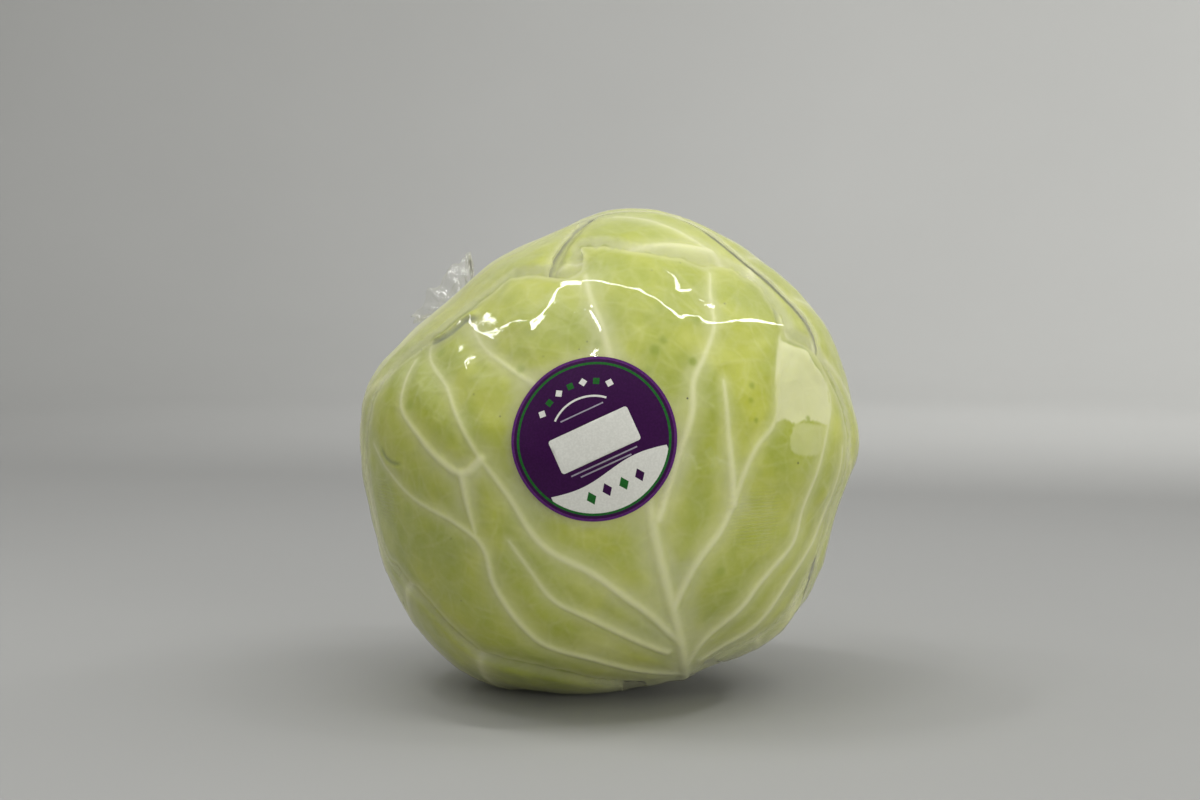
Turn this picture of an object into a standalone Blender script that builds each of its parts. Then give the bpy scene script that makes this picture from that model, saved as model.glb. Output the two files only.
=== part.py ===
"""A head of green cabbage, wrapped in clear film, with a round label on its front.

The head is a radius that varies with direction from its centre. Each wrapper leaf is a patch of
degrees (u, v) on that head, with its midrib near u = 0 and the stem at v = -90, and lies under the
leaves that come before it. All lengths are in metres, with +Z up and the origin at the middle of
the small flat that the head rests on.
"""
import math
import random

import bmesh
import bpy
import numpy as np
from mathutils import Vector
from mathutils.geometry import delaunay_2d_cdt

MM = 0.001

# Head
HEAD_CENTRE = np.array([10.0, 0.0, 88.0]) * MM
# Radii of the outline seen from the front, in mm, every 15 degrees from +X over +Z
OUTLINE_RADII = [91, 91, 91.5, 89.5, 89, 89.5, 87, 82, 80.5, 79.5, 84, 91,
                 90.5, 90, 93, 96, 97, 93, 90, 89, 89, 92.5, 90, 87]
DEPTH_RADIUS = 87.0 * MM        # to the front and to the back
STEM_AXIS = (0.289, -0.007, -0.957)     # from the head's centre to the cut stem
FRONT_LEAF_AXIS = (0.08, -0.99, 0.03)   # from the head's centre to the front leaf's middle

# Leaves
LEAF_TURN = 137.5               # degrees round the stem from each leaf to the next
BLADE = 1.0 * MM
LEAF_GAP = 1.4 * MM             # from a leaf's inner face to the next leaf's lamina
COVERED_RELIEF = 0.15           # share of its relief that a leaf keeps where another lies on it
COVER_MARGIN = 6.0              # degrees beyond a leaf's edge that stay pressed down
COVER_FADE = 12.0               # degrees over which the next leaf rises again

# Ribs and folds, with widths in degrees
CREST_INSET = 0.7 * MM          # from the head's radius to a lateral rib's crest
RIB_HEIGHT = 0.8 * MM
FOLD_HEIGHT = 0.9 * MM          # broad rise of the lamina towards a rib
FOLD_REACH = 11.0
CREASE_HEIGHT = 1.45 * MM       # of the fold across the front leaf
MIDRIB_WIDTH = 3.0              # half width at the leaf's base
MIDRIB_STRENGTH = 1.35          # a midrib's height over a lateral rib's
LATERAL_WIDTH = 1.7
LATERAL_STRENGTH = 1.0
RIB_NARROWING = 0.45            # share of its width that a rib loses towards its tip
RIB_LOWERING = 0.35             # share of its height that a rib loses towards its tip
RIB_INSET = 2.5                 # that a rib stays inside the leaf's edge

# Spacing of a leaf's points, in degrees
EDGE_STEP = 6.0                 # along the leaf's edge
RIB_STEP = 7.0                  # along a rib
GRID_STEP = 8.5                 # across the lamina
GRID_ROW = 0.87 * GRID_STEP     # makes the grid's triangles nearly equilateral
GRID_FROM_EDGE = 0.45 * GRID_STEP
GRID_FROM_RIB = 0.55 * GRID_STEP
RIB_FROM_EDGE = 1.2
RIB_FROM_RIB = 1.0
MERGE = 0.2                     # closer points become one

# Stem
STEM_RADIUS = 14.5 * MM
STEM_INNER = 46.0 * MM          # distance of the stem's hidden end from the head's centre
STEM_OUTER = 84.5 * MM          # distance of the cut face
STEM_SIDES = 30
STEM_LOBES = 5
STEM_LOBE_DEPTH = 0.03          # share of the radius
STEM_HOLLOW = 0.6 * MM          # how far the middle of the cut face sinks in
# Rings of the stem: distance from the head's centre, share of the radius
STEM_RINGS = [(STEM_INNER, 0.86), (STEM_INNER + 3 * MM, 0.93), (64 * MM, 0.96), (STEM_OUTER - 5 * MM, 1.0),
              (STEM_OUTER - 1.2 * MM, 1.0), (STEM_OUTER, 0.93), (STEM_OUTER - 0.4 * MM, 0.6)]
STEM_RIM = 4                    # the ring that the film is pulled over
SOCKET_GAP = 0.6 * MM

# Heart
HEART_GAP = 1.5 * MM            # from the heart's highest edges to the leaves round it
HEART_WRAPS = 4                 # leaf edges seen round the heart
WRAP_POINTS = 9                 # round the heart for each leaf edge
WRAP_STEP = 1.6 * MM            # drop at a leaf's edge
WRAP_EDGE = 0.6                 # share of a point's spacing between an edge's top and its foot
HEART_TWIST = 75.0              # degrees that an edge turns from the stem to the crown
HEART_ROWS = 19
HEART_FIRST = 16.5              # degrees from the stem's axis
HEART_LAST = 176.0
SOCKET_DEPTH = 12.0 * MM        # of the straight part of the stem's socket

# Film
FILM_THICKNESS = 0.4 * MM
FILM_CLEARANCE = 0.6 * MM
FILM_MERGE = 0.3 * MM
REST_RADIUS = 24.0 * MM
REST_SIDES = 20
REST_CLEARANCE = 0.7 * MM       # from the film's flat to the lowest rib
FLOOR_GAP = 0.1 * MM            # of the film beside its flat
LID_TOLERANCE = 0.1 * MM        # for the faces that are cut out where the neck starts
NECK_AXIS = (-0.58, 0.62, 0.50)
NECK_SIDES = 14
# Rings of the gathered neck: distance from the head's centre, half width, half depth, in mm, and
# the depth of its pleats as a share of those
NECK_RINGS = [(92.0, 12.5, 12.5, 0.0), (95.5, 7.0, 6.0, 0.12), (98.5, 6.0, 4.5, 0.12),
              (104.0, 12.0, 5.0, 0.0), (111.0, 17.5, 4.0, 0.0)]

# Label
LABEL_RADIUS = 27.5 * MM
LABEL_THICKNESS = 0.4 * MM
LABEL_LIFT = 1.3 * MM           # from the head's radius to the label's back
LABEL_AXIS = (-0.055, -0.993, 0.142)
LABEL_RINGS = 4
LABEL_RING_SIDES = 8            # more for each ring outwards

# Shading
SHARP_ANGLE = math.radians(40)

# Front leaf, in degrees
FRONT_OUTLINE = [
    (9, -77), (7, -68), (12, -63), (22, -60), (33, -55), (44, -48), (54, -39), (61, -28), (65, -14),
    (65, -3), (62, 5), (58, 12), (54, 15), (50, 18), (52, 27), (51, 35), (45, 41), (37, 43), (28, 47),
    (19, 52), (12, 58), (8, 61), (5, 52), (0, 51), (-6, 56), (-14, 61), (-22, 58), (-30, 56), (-37, 53),
    (-44, 51), (-53, 48), (-63, 40), (-72, 28), (-79, 13), (-80, 0), (-77, -9), (-69, -15), (-61, -22),
    (-55, -30), (-49, -38), (-40, -43), (-31, -50), (-21, -59), (-12, -66), (-9, -77)]
FRONT_MIDRIB = [(1, -77), (1, -60), (1, -40), (1, -20), (2, -8), (2, 5), (3, 20), (4, 32), (4, 41), (5, 49)]
FRONT_LATERALS = [
    [(1, -50), (-4, -38), (-9, -30), (-15, -21), (-24, -11), (-28, 1), (-32, 11), (-34, 17), (-36, 24),
     (-38, 32), (-43, 42), (-44, 48)],
    [(-32, 11), (-38, 9), (-44, 15), (-48, 22), (-52, 30), (-51, 38), (-49, 45)],
    [(-38, 9), (-39, 1), (-39, -6)],
    [(1, -68), (-12, -57), (-22, -47), (-31, -39), (-35, -30), (-38, -19), (-38, -9), (-44, -2), (-55, 6),
     (-63, 16), (-68, 24)],
    [(0, -76), (-20, -56), (-30, -47), (-40, -39), (-48, -34), (-54, -23), (-60, -15), (-68, -8), (-75, -3)],
    [(-3, -52), (-18, -34), (-25, -26), (-28, -17), (-31, -9)],
    [(3, -13), (7, -7), (11, -1), (17, 7), (20, 14), (25, 19), (30, 25), (33, 33), (37, 40)],
    [(1, -37), (8, -27), (16, -21), (21, -16), (25, -10), (30, -5), (37, -1), (41, 7), (46, 14), (49, 20)],
    [(2, -61), (7, -52), (17, -44), (23, -39), (30, -36), (37, -33), (42, -25), (46, -19), (52, -11),
     (59, -3), (60, 4)],
    [(6, -62), (20, -54), (30, -46), (37, -42), (46, -38), (54, -32), (57, -25), (60, -16)],
    [(2, 8), (-9, 17), (-15, 24), (-22, 33), (-26, 39), (-29, 47)],
    [(21, -16), (24, 0), (27, 12)],
]
FRONT_CREASE = [(-20, 44), (-11, 41), (-5, 45), (0, 49), (8, 44), (13, 40), (19, 34), (25, 29), (32, 25),
                (42, 24), (50, 20)]

# The other leaves: half width and tip in degrees, and the seed of their edge and ribs
OTHER_LEAVES = [(78, 84, 11), (74, 96, 23), (72, 80, 37), (76, 92, 41)]
LEAF_COUNT = 1 + len(OTHER_LEAVES)
OTHER_BASE = -75.0              # where each of them starts at the stem
OTHER_BASE_WIDTH = 9.0          # half of it
OTHER_EDGE_ROWS = 17
OTHER_LOW_WIDEST = 0.8           # under 1 moves the widest place towards the stem
OTHER_FULLNESS = 0.7            # under 1 makes the outline fuller than a sine
OTHER_EDGE_WAVE = 2.5
# Radians of the edge's wave from stem to tip: right side out and up, left side out and up
OTHER_WAVE_TURNS = (21, 17, 19, 23)
OTHER_SWAY = 3.0                # most that the midrib bends to a side
# The midrib's course: share of the sway, degrees towards the tip
OTHER_MIDRIB_COURSE = [(0.0, OTHER_BASE), (0.4, -45), (1.0, -10), (0.5, 32), (-1.0, 68)]
OTHER_LATERALS = 9
OTHER_LATERAL_JITTER = 2.0      # degrees along the midrib
OTHER_LATERAL_RISE = (0.85, 1.15)       # least and most share of its course's rise
OTHER_FIRST_LATERAL = -66.0     # where it leaves the midrib
OTHER_LATERAL_STEP = 13.5       # along the midrib from each to the next, on its other side
# A lateral's course: share of the leaf's half width, degrees towards the tip
OTHER_LATERAL_COURSE = [(0.16, 9), (0.38, 20), (0.62, 29), (0.82, 40), (0.93, 52)]


def unit(vector):
    v = np.asarray(vector, dtype=float)
    return v / np.linalg.norm(v)


def ease(t):
    """A smooth step from 0 to 1."""
    t = np.clip(t, 0, 1)
    return t * t * (3 - 2 * t)


def spline(a, b, c, e, t):
    """The Catmull-Rom curve from b to c at t, between 0 and 1."""
    return b + 0.5 * t * (c - a + t * (2 * a - 5 * b + 4 * c - e + t * (3 * (b - c) + e - a)))


def base_radius(d):
    """The head's outermost radius in the directions d, flat where the head rests."""
    steps = len(OUTLINE_RADII)
    radii = np.array(OUTLINE_RADII, dtype=float) * MM
    turn = np.mod(np.arctan2(d[..., 2], d[..., 0]), 2 * math.pi) / (2 * math.pi) * steps
    i = np.floor(turn).astype(int)
    a, b, c, e = [radii[(i + k) % steps] for k in (-1, 0, 1, 2)]
    outline = spline(a, b, c, e, turn - i)
    sideways = d[..., 0] ** 2 + d[..., 2] ** 2
    radius = DEPTH_RADIUS + (outline - DEPTH_RADIUS) * sideways
    drop = np.maximum(-d[..., 2], 1e-6)
    return np.minimum(radius, (HEAD_CENTRE[2] - REST_CLEARANCE) / drop)


def leaf_frame(index):
    """Middle, right and up directions of a leaf, each leaf turned on round the stem from the last."""
    stem = unit(STEM_AXIS)
    front = unit(FRONT_LEAF_AXIS)
    angle = math.radians(LEAF_TURN * index)
    along = stem * (stem @ front) * (1 - math.cos(angle))
    middle = unit(front * math.cos(angle) - np.cross(stem, front) * math.sin(angle) + along)
    up = unit(middle * (stem @ middle) - stem)
    return middle, np.cross(up, middle), up


def directions(frame, uv):
    """Unit vectors of the points uv, degrees measured along great circles from the leaf's middle."""
    middle, right, up = frame
    reach = np.hypot(uv[:, 0], uv[:, 1])
    scale = np.sin(np.radians(reach)) / np.maximum(reach, 1e-9)
    return np.cos(np.radians(reach))[:, None] * middle + (scale * uv[:, 0])[:, None] * right \
        + (scale * uv[:, 1])[:, None] * up


def degrees_of(frame, d):
    """The inverse of directions."""
    middle, right, up = frame
    reach = np.degrees(np.arccos(np.clip(d @ middle, -1, 1)))
    scale = reach / np.maximum(np.sin(np.radians(reach)), 1e-9)
    return np.stack([d @ right * scale, d @ up * scale], axis=-1)


def smooth_route(points, step, closed=False):
    """A smooth curve through the points, with a point about every step."""
    p = np.array(points, dtype=float)
    n = len(p)
    result = []
    for i in range(n if closed else n - 1):
        picks = [(i + k) % n if closed else min(max(i + k, 0), n - 1) for k in (-1, 0, 1, 2)]
        a, b, c, e = p[picks]
        pieces = max(1, round(np.linalg.norm(c - b) / step))
        for t in np.arange(pieces) / pieces:
            result.append(spline(a, b, c, e, t))
    if not closed:
        result.append(p[-1])
    return np.array(result)


def distance_to_route(uv, route):
    """Distance of each point to the route, and how far along the route its nearest place is, 0 to 1."""
    best = np.full(len(uv), 1e9)
    along = np.zeros(len(uv))
    for i in range(len(route) - 1):
        a = route[i]
        ab = route[i + 1] - a
        t = np.clip((uv - a) @ ab / max(ab @ ab, 1e-12), 0, 1)
        gap = np.linalg.norm(uv - a - t[:, None] * ab, axis=1)
        near = gap < best
        best[near] = gap[near]
        along[near] = (i + t[near]) / (len(route) - 1)
    return best, along


def inside(uv, outline):
    """True for each point within the closed outline."""
    result = np.zeros(len(uv), dtype=bool)
    for a, b in zip(outline, np.roll(outline, -1, axis=0)):
        crosses = (a[1] > uv[:, 1]) != (b[1] > uv[:, 1])
        rise = b[1] - a[1] if abs(b[1] - a[1]) > 1e-12 else 1e-12
        result ^= crosses & (uv[:, 0] < a[0] + (uv[:, 1] - a[1]) / rise * (b[0] - a[0]))
    return result


def other_outline(half_width, tip, seed):
    """A rounded leaf with a waved edge, narrow at the stem."""
    rng = random.Random(seed)
    phases = [rng.uniform(0, 2 * math.pi) for _ in OTHER_WAVE_TURNS]
    right = []
    left = []
    for s in np.linspace(0, 1, OTHER_EDGE_ROWS):
        swell = math.sin(math.pi * s ** OTHER_LOW_WIDEST) ** OTHER_FULLNESS
        width = OTHER_BASE_WIDTH + (half_width - OTHER_BASE_WIDTH) * swell
        v = OTHER_BASE + (tip - OTHER_BASE) * s
        wave = OTHER_EDGE_WAVE * math.sin(math.pi * s)
        a, b, c, e = [wave * math.sin(turns * s + phase) for turns, phase in zip(OTHER_WAVE_TURNS, phases)]
        right.append((width + a, v + b))
        left.append((-width - c, v + e))
    return right + left[::-1]


def other_ribs(half_width, seed):
    """A midrib that bends a little, and laterals that leave it in turn to both sides."""
    rng = random.Random(seed + 1)
    sway = rng.uniform(-OTHER_SWAY, OTHER_SWAY)
    midrib = [(sway * share, v) for share, v in OTHER_MIDRIB_COURSE]
    laterals = []
    for i in range(OTHER_LATERALS):
        side = 1 if i % 2 else -1
        jitter = rng.uniform(-OTHER_LATERAL_JITTER, OTHER_LATERAL_JITTER)
        start = OTHER_FIRST_LATERAL + OTHER_LATERAL_STEP * i + jitter
        lift = rng.uniform(*OTHER_LATERAL_RISE)
        route = [(sway / 2, start)]
        for out, rise in OTHER_LATERAL_COURSE:
            route.append((side * out * half_width, start + rise * lift))
        laterals.append(route)
    return midrib, laterals


class Leaf:
    """One wrapper leaf: its frame, its edge, its ribs and its creases, in degrees."""

    def __init__(self, index):
        self.frame = leaf_frame(index)
        self.creases = []
        if index == 0:
            outline = FRONT_OUTLINE
            midrib = FRONT_MIDRIB
            laterals = FRONT_LATERALS
            self.creases = [smooth_route(FRONT_CREASE, RIB_STEP)]
        else:
            shape = OTHER_LEAVES[index - 1]
            outline = other_outline(*shape)
            midrib, laterals = other_ribs(shape[0], shape[2])
        self.outline = smooth_route(outline, EDGE_STEP, closed=True)
        self.ribs = [(smooth_route(midrib, RIB_STEP), MIDRIB_WIDTH, MIDRIB_STRENGTH)]
        for lateral in laterals:
            route = self.trimmed(smooth_route(lateral, RIB_STEP))
            if len(route) > 2:
                self.ribs.append((route, LATERAL_WIDTH, LATERAL_STRENGTH))

    def trimmed(self, route):
        """The start of the route, as far as it stays well inside the leaf's edge."""
        keep = 0
        within = inside(route, self.outline) & (self.edge_distance(route) > RIB_INSET)
        while keep < len(route) and (within[keep] or keep == 0):
            keep += 1
        return route[:keep]

    def edge_distance(self, uv):
        closed = np.vstack([self.outline, self.outline[:1]])
        return distance_to_route(uv, closed)[0]

    def cover(self, d):
        """1 where the leaf lies over the direction d or close by, fading to 0 away from its edge."""
        uv = degrees_of(self.frame, d)
        away = np.where(inside(uv, self.outline), 0.0, self.edge_distance(uv))
        return ease(1 - (away - COVER_MARGIN) / COVER_FADE)

    def relief(self, uv):
        """Height of the ribs and of the lamina's folds towards them."""
        height = np.zeros(len(uv))
        for route, width, strength in self.ribs:
            away, along = distance_to_route(uv, route)
            rib = RIB_HEIGHT * np.clip(1 - away / (width * (1 - RIB_NARROWING * along)), 0, 1)
            fold = FOLD_HEIGHT * np.clip(1 - away / FOLD_REACH, 0, 1)
            height = np.maximum(height, strength * (1 - RIB_LOWERING * along) * (rib + fold))
        for route in self.creases:
            away, _ = distance_to_route(uv, route)
            height = np.maximum(height, CREASE_HEIGHT * np.clip(1 - away / FOLD_REACH, 0, 1))
        return height


def lamina_depth(leaves, index, d):
    """How far under the head's radius a leaf's lamina lies, and how far other leaves press it down."""
    depth = np.full(len(d), CREST_INSET + RIB_HEIGHT + FOLD_HEIGHT)
    pressed = np.zeros(len(d))
    for above in range(index):
        cover = leaves[above].cover(d)
        depth_above, _ = lamina_depth(leaves, above, d)
        depth = np.maximum(depth, cover * (depth_above + BLADE + LEAF_GAP))
        pressed = np.maximum(pressed, np.minimum(2 * cover, 1))
    return depth, pressed


def place(d, radius):
    return HEAD_CENTRE + d * radius[:, None]


def rib_lines(leaf):
    """The crest and both feet of each rib, and the creases."""
    lines = []
    for route, width, _ in leaf.ribs:
        heading = np.gradient(route, axis=0)
        side = np.stack([-heading[:, 1], heading[:, 0]], axis=1)
        side /= np.linalg.norm(side, axis=1)[:, None]
        foot = side * (width * (1 - RIB_NARROWING * np.linspace(0, 1, len(route))))[:, None]
        lines += [route, route + foot, route - foot]
    return lines + leaf.creases


def leaf_faces(leaf):
    """Points in degrees, and triangles that follow the leaf's edge and its ribs."""
    points = [tuple(p) for p in leaf.outline]
    count = len(points)
    edges = [(i, (i + 1) % count) for i in range(count)]
    taken = leaf.outline
    for line in rib_lines(leaf):
        previous = None
        for p in line:
            here = p[None, :]
            clear = inside(here, leaf.outline)[0] and leaf.edge_distance(here)[0] > RIB_FROM_EDGE
            if not clear or np.min(np.linalg.norm(taken - p, axis=1)) < RIB_FROM_RIB:
                previous = None
                continue
            points.append(tuple(p))
            taken = np.vstack([taken, here])
            if previous is not None:
                edges.append((previous, len(points) - 1))
            previous = len(points) - 1
    low = leaf.outline.min(axis=0)
    high = leaf.outline.max(axis=0)
    for row, v in enumerate(np.arange(low[1], high[1], GRID_ROW)):
        for u in np.arange(low[0] + (row % 2) * GRID_STEP / 2, high[0], GRID_STEP):
            here = np.array([[u, v]])
            if not inside(here, leaf.outline)[0] or leaf.edge_distance(here)[0] < GRID_FROM_EDGE:
                continue
            if np.min(np.linalg.norm(taken - here, axis=1)) > GRID_FROM_RIB:
                points.append((u, v))
    verts, _, faces, *_ = delaunay_2d_cdt([Vector(p) for p in points], edges, [], 1, MERGE)
    uv = np.array([(p.x, p.y) for p in verts])
    middles = np.array([np.mean(uv[list(f)], axis=0) for f in faces])
    return uv, [list(f) for f, wanted in zip(faces, inside(middles, leaf.outline)) if wanted]


def two_sided(outer, inner, faces):
    """A closed mesh with the outer points, the inner points and a wall along the open edges."""
    count = len(outer)
    sides = {(a, b) for f in faces for a, b in zip(f, f[1:] + f[:1])}
    body = [list(f) for f in faces]
    body += [[count + i for i in reversed(f)] for f in faces]
    for a, b in sorted(sides):
        if (b, a) not in sides:
            body.append([b, a, count + a])
            body.append([b, count + a, count + b])
    return np.vstack([outer, inner]), body


def add_object(name, points, faces, material):
    mesh = bpy.data.meshes.new(name)
    mesh.from_pydata([tuple(p) for p in points], [], faces)
    mesh.validate()
    bm = bmesh.new()
    bm.from_mesh(mesh)
    loose = [v for v in bm.verts if not v.link_faces]
    bmesh.ops.delete(bm, geom=loose, context="VERTS")
    bmesh.ops.recalc_face_normals(bm, faces=bm.faces)
    bm.to_mesh(mesh)
    bm.free()
    mesh.shade_smooth()
    mesh.set_sharp_from_angle(angle=SHARP_ANGLE)
    mesh.materials.append(material)
    obj = bpy.data.objects.new(name, mesh)
    bpy.context.scene.collection.objects.link(obj)
    return obj


def add_material(name, colour, roughness, alpha=1.0):
    material = bpy.data.materials.new(name)
    material.use_nodes = True
    shader = material.node_tree.nodes["Principled BSDF"]
    shader.inputs["Base Color"].default_value = (*colour, 1.0)
    shader.inputs["Roughness"].default_value = roughness
    shader.inputs["Metallic"].default_value = 0.0
    shader.inputs["Alpha"].default_value = alpha
    return material


def build_leaf(leaves, index, material):
    """One leaf: ribs and folds on its outer face, a smooth inner face a blade's thickness below."""
    leaf = leaves[index]
    uv, faces = leaf_faces(leaf)
    d = directions(leaf.frame, uv)
    depth, pressed = lamina_depth(leaves, index, d)
    lamina = base_radius(d) - depth
    relief = leaf.relief(uv) * (1 - (1 - COVERED_RELIEF) * pressed)
    outer = place(d, lamina + relief)
    points, body = two_sided(outer, place(d, lamina - BLADE), faces)
    add_object(f"leaf_{index + 1}", points, body, material)
    return outer


def stem_frame():
    axis = unit(STEM_AXIS)
    side = unit(np.cross(axis, (0.0, 1.0, 0.0)))
    return axis, side, np.cross(axis, side)


def stem_ring(height, radius, count, lobes=0.0):
    """A ring of points round the stem's axis, at a height along it from the head's centre."""
    axis, side, other = stem_frame()
    angle = np.arange(count) / count * 2 * math.pi
    r = radius * (1 + lobes * np.cos(STEM_LOBES * angle))
    ring = np.outer(r * np.cos(angle), side) + np.outer(r * np.sin(angle), other)
    return HEAD_CENTRE + axis * height + ring


def skin_rings(rings, first, last):
    """Triangles through rings of equal count, closed by a point at each end."""
    count = len(rings[0])
    points = np.vstack(rings + [first[None, :], last[None, :]])
    start = len(rings) * count
    faces = []
    for row in range(len(rings) - 1):
        for i in range(count):
            a = row * count + i
            b = row * count + (i + 1) % count
            faces.append([a, b, b + count])
            faces.append([a, b + count, a + count])
    for i in range(count):
        j = (i + 1) % count
        faces.append([start, j, i])
        faces.append([start + 1, start - count + i, start - count + j])
    return points, faces


def build_stem(material):
    """The cut stem, slightly lobed, with a bevelled and sunken cut face."""
    axis = unit(STEM_AXIS)
    rings = []
    for height, share in STEM_RINGS:
        rings.append(stem_ring(height, STEM_RADIUS * share, STEM_SIDES, STEM_LOBE_DEPTH))
    inner_end = HEAD_CENTRE + axis * STEM_INNER
    cut_face = HEAD_CENTRE + axis * (STEM_OUTER - STEM_HOLLOW)
    points, faces = skin_rings(rings, inner_end, cut_face)
    add_object("stem", points, faces, material)
    return rings[STEM_RIM]


def build_heart(leaves, material):
    """The dense inner head, wound from leaves whose edges run up it in spirals, with the stem's socket."""
    axis, side, other = stem_frame()
    count = HEART_WRAPS * WRAP_POINTS
    socket_radius = STEM_RADIUS * (1 + STEM_LOBE_DEPTH) + SOCKET_GAP
    socket = []
    for height in (STEM_INNER - SOCKET_GAP, STEM_INNER + SOCKET_DEPTH):
        socket.append(stem_ring(height, socket_radius, count))
    wrap = np.arange(count) // WRAP_POINTS
    place_in_wrap = np.arange(count) % WRAP_POINTS
    foot = place_in_wrap == WRAP_POINTS - 1
    spread = np.where(foot, place_in_wrap - 1 + WRAP_EDGE, place_in_wrap)
    turn = (wrap * WRAP_POINTS + spread) / count * 2 * math.pi
    skin = []
    for polar in np.radians(np.linspace(HEART_FIRST, HEART_LAST, HEART_ROWS)):
        angle = turn + math.radians(HEART_TWIST) * polar / math.pi
        outwards = np.outer(np.cos(angle), side) + np.outer(np.sin(angle), other)
        d = math.cos(polar) * axis + math.sin(polar) * outwards
        depth, _ = lamina_depth(leaves, LEAF_COUNT, d)
        drop = WRAP_STEP * place_in_wrap / (WRAP_POINTS - 1) * math.sin(polar)
        skin.append(place(d, base_radius(d) - depth - HEART_GAP - drop))
    socket_end = HEAD_CENTRE + axis * (STEM_INNER - SOCKET_GAP)
    points, faces = skin_rings(socket + skin, socket_end, np.mean(skin[-1], axis=0))
    add_object("heart", points, faces, material)
    return np.vstack(skin)


def hull_of(points):
    """The convex hull as a bmesh, without the points that it encloses."""
    bm = bmesh.new()
    for p in points:
        bm.verts.new(tuple(p))
    bmesh.ops.remove_doubles(bm, verts=bm.verts, dist=FILM_MERGE)
    found = bmesh.ops.convex_hull(bm, input=bm.verts)
    spare = {g for g in found["geom_interior"] + found["geom_unused"] if isinstance(g, bmesh.types.BMVert)}
    bmesh.ops.delete(bm, geom=list(spare), context="VERTS")
    return bm


def neck_ring(distance, half_width, half_depth, pleat):
    axis = unit(NECK_AXIS)
    across = unit(np.cross(axis, (0.0, 1.0, 0.0)))
    along = np.cross(axis, across)
    angle = np.arange(NECK_SIDES) / NECK_SIDES * 2 * math.pi
    swell = 1 + pleat * np.cos(NECK_SIDES / 2 * angle)
    centre = HEAD_CENTRE + axis * distance * MM
    return centre + np.outer(half_width * MM * swell * np.cos(angle), across) \
        + np.outer(half_depth * MM * swell * np.sin(angle), along)


def build_film(covered, material):
    """Film pulled tight over the leaves, flat where the head rests, and gathered in an open neck."""
    away = covered - HEAD_CENTRE
    push = (FILM_CLEARANCE + FILM_THICKNESS) / np.linalg.norm(away, axis=1)
    skin = HEAD_CENTRE + away * (1 + push)[:, None]
    skin[:, 2] = np.maximum(skin[:, 2], FLOOR_GAP)
    angle = np.arange(REST_SIDES) / REST_SIDES * 2 * math.pi
    rest = REST_RADIUS * np.stack([np.cos(angle), np.sin(angle), np.zeros(REST_SIDES)], axis=1)
    mouth = neck_ring(*NECK_RINGS[0])
    bm = hull_of(np.vstack([skin, rest, mouth]))
    axis = Vector(unit(NECK_AXIS))
    centre = Vector(HEAD_CENTRE)
    level = (Vector(mouth[0]) - centre).dot(axis) - LID_TOLERANCE
    lid = [f for f in bm.faces if all((v.co - centre).dot(axis) > level for v in f.verts)]
    bmesh.ops.delete(bm, geom=lid, context="FACES")
    rim = [min(bm.verts, key=lambda v: (v.co - Vector(p)).length) for p in mouth]
    for ring in NECK_RINGS[1:]:
        upper = [bm.verts.new(tuple(p)) for p in neck_ring(*ring)]
        for i in range(NECK_SIDES):
            j = (i + 1) % NECK_SIDES
            bm.faces.new((rim[i], rim[j], upper[j]))
            bm.faces.new((rim[i], upper[j], upper[i]))
        rim = upper
    bmesh.ops.recalc_face_normals(bm, faces=bm.faces)
    mesh = bpy.data.meshes.new("film")
    bm.to_mesh(mesh)
    bm.free()
    mesh.materials.append(material)
    film = bpy.data.objects.new("film", mesh)
    bpy.context.scene.collection.objects.link(film)
    shell = film.modifiers.new("thickness", "SOLIDIFY")
    shell.thickness = FILM_THICKNESS
    shell.offset = -1.0
    shell.use_rim = True


def build_label(material):
    """A round label that follows the head's curve, just clear of the film."""
    axis = unit(LABEL_AXIS)
    side = unit(np.cross(axis, (0.0, 0.0, 1.0)))
    frame = (axis, side, np.cross(side, axis))
    reach = math.degrees(LABEL_RADIUS / DEPTH_RADIUS)
    points = [(0.0, 0.0)]
    for ring in range(1, LABEL_RINGS + 1):
        count = LABEL_RING_SIDES * ring
        out = reach * ring / LABEL_RINGS
        for i in range(count):
            angle = 2 * math.pi * (i + 0.5 * (ring % 2)) / count
            points.append((out * math.cos(angle), out * math.sin(angle)))
    start = len(points) - count
    edges = [(start + i, start + (i + 1) % count) for i in range(count)]
    verts, _, faces, *_ = delaunay_2d_cdt([Vector(p) for p in points], edges, [], 1, 1e-4)
    d = directions(frame, np.array([(p.x, p.y) for p in verts]))
    back = base_radius(d) + LABEL_LIFT
    points, body = two_sided(place(d, back + LABEL_THICKNESS), place(d, back), [list(f) for f in faces])
    add_object("label", points, body, material)


def main():
    for obj in list(bpy.data.objects):
        bpy.data.objects.remove(obj)
    leaf_green = add_material("leaf_green", (0.40, 0.50, 0.13), 0.45)
    heart_green = add_material("heart_green", (0.62, 0.68, 0.36), 0.5)
    stem_pale = add_material("stem_pale", (0.68, 0.70, 0.50), 0.6)
    clear_film = add_material("clear_film", (0.92, 0.95, 0.92), 0.12, 0.2)
    label_face = add_material("label_face", (0.05, 0.01, 0.09), 0.3)
    leaves = [Leaf(index) for index in range(LEAF_COUNT)]
    covered = [build_leaf(leaves, index, leaf_green) for index in range(LEAF_COUNT)]
    covered.append(build_stem(stem_pale))
    covered.append(build_heart(leaves, heart_green))
    build_film(np.vstack(covered), clear_film)
    build_label(label_face)


main()
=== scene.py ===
"""The finished look of a head of green cabbage wrapped in clear film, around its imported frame.

The head is a radius that varies with direction from its centre, and each wrapper leaf is a patch of
degrees (u, v) on it, as in the frame. The film is a membrane relaxed over the leaves: it touches
ribs and bulges, and spans the hollows between them, where it looks hazy. Lengths are in metres.
"""
import math
import random

import bmesh
import bpy
import numpy as np
from mathutils import Matrix, Vector
from mathutils.geometry import delaunay_2d_cdt


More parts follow.
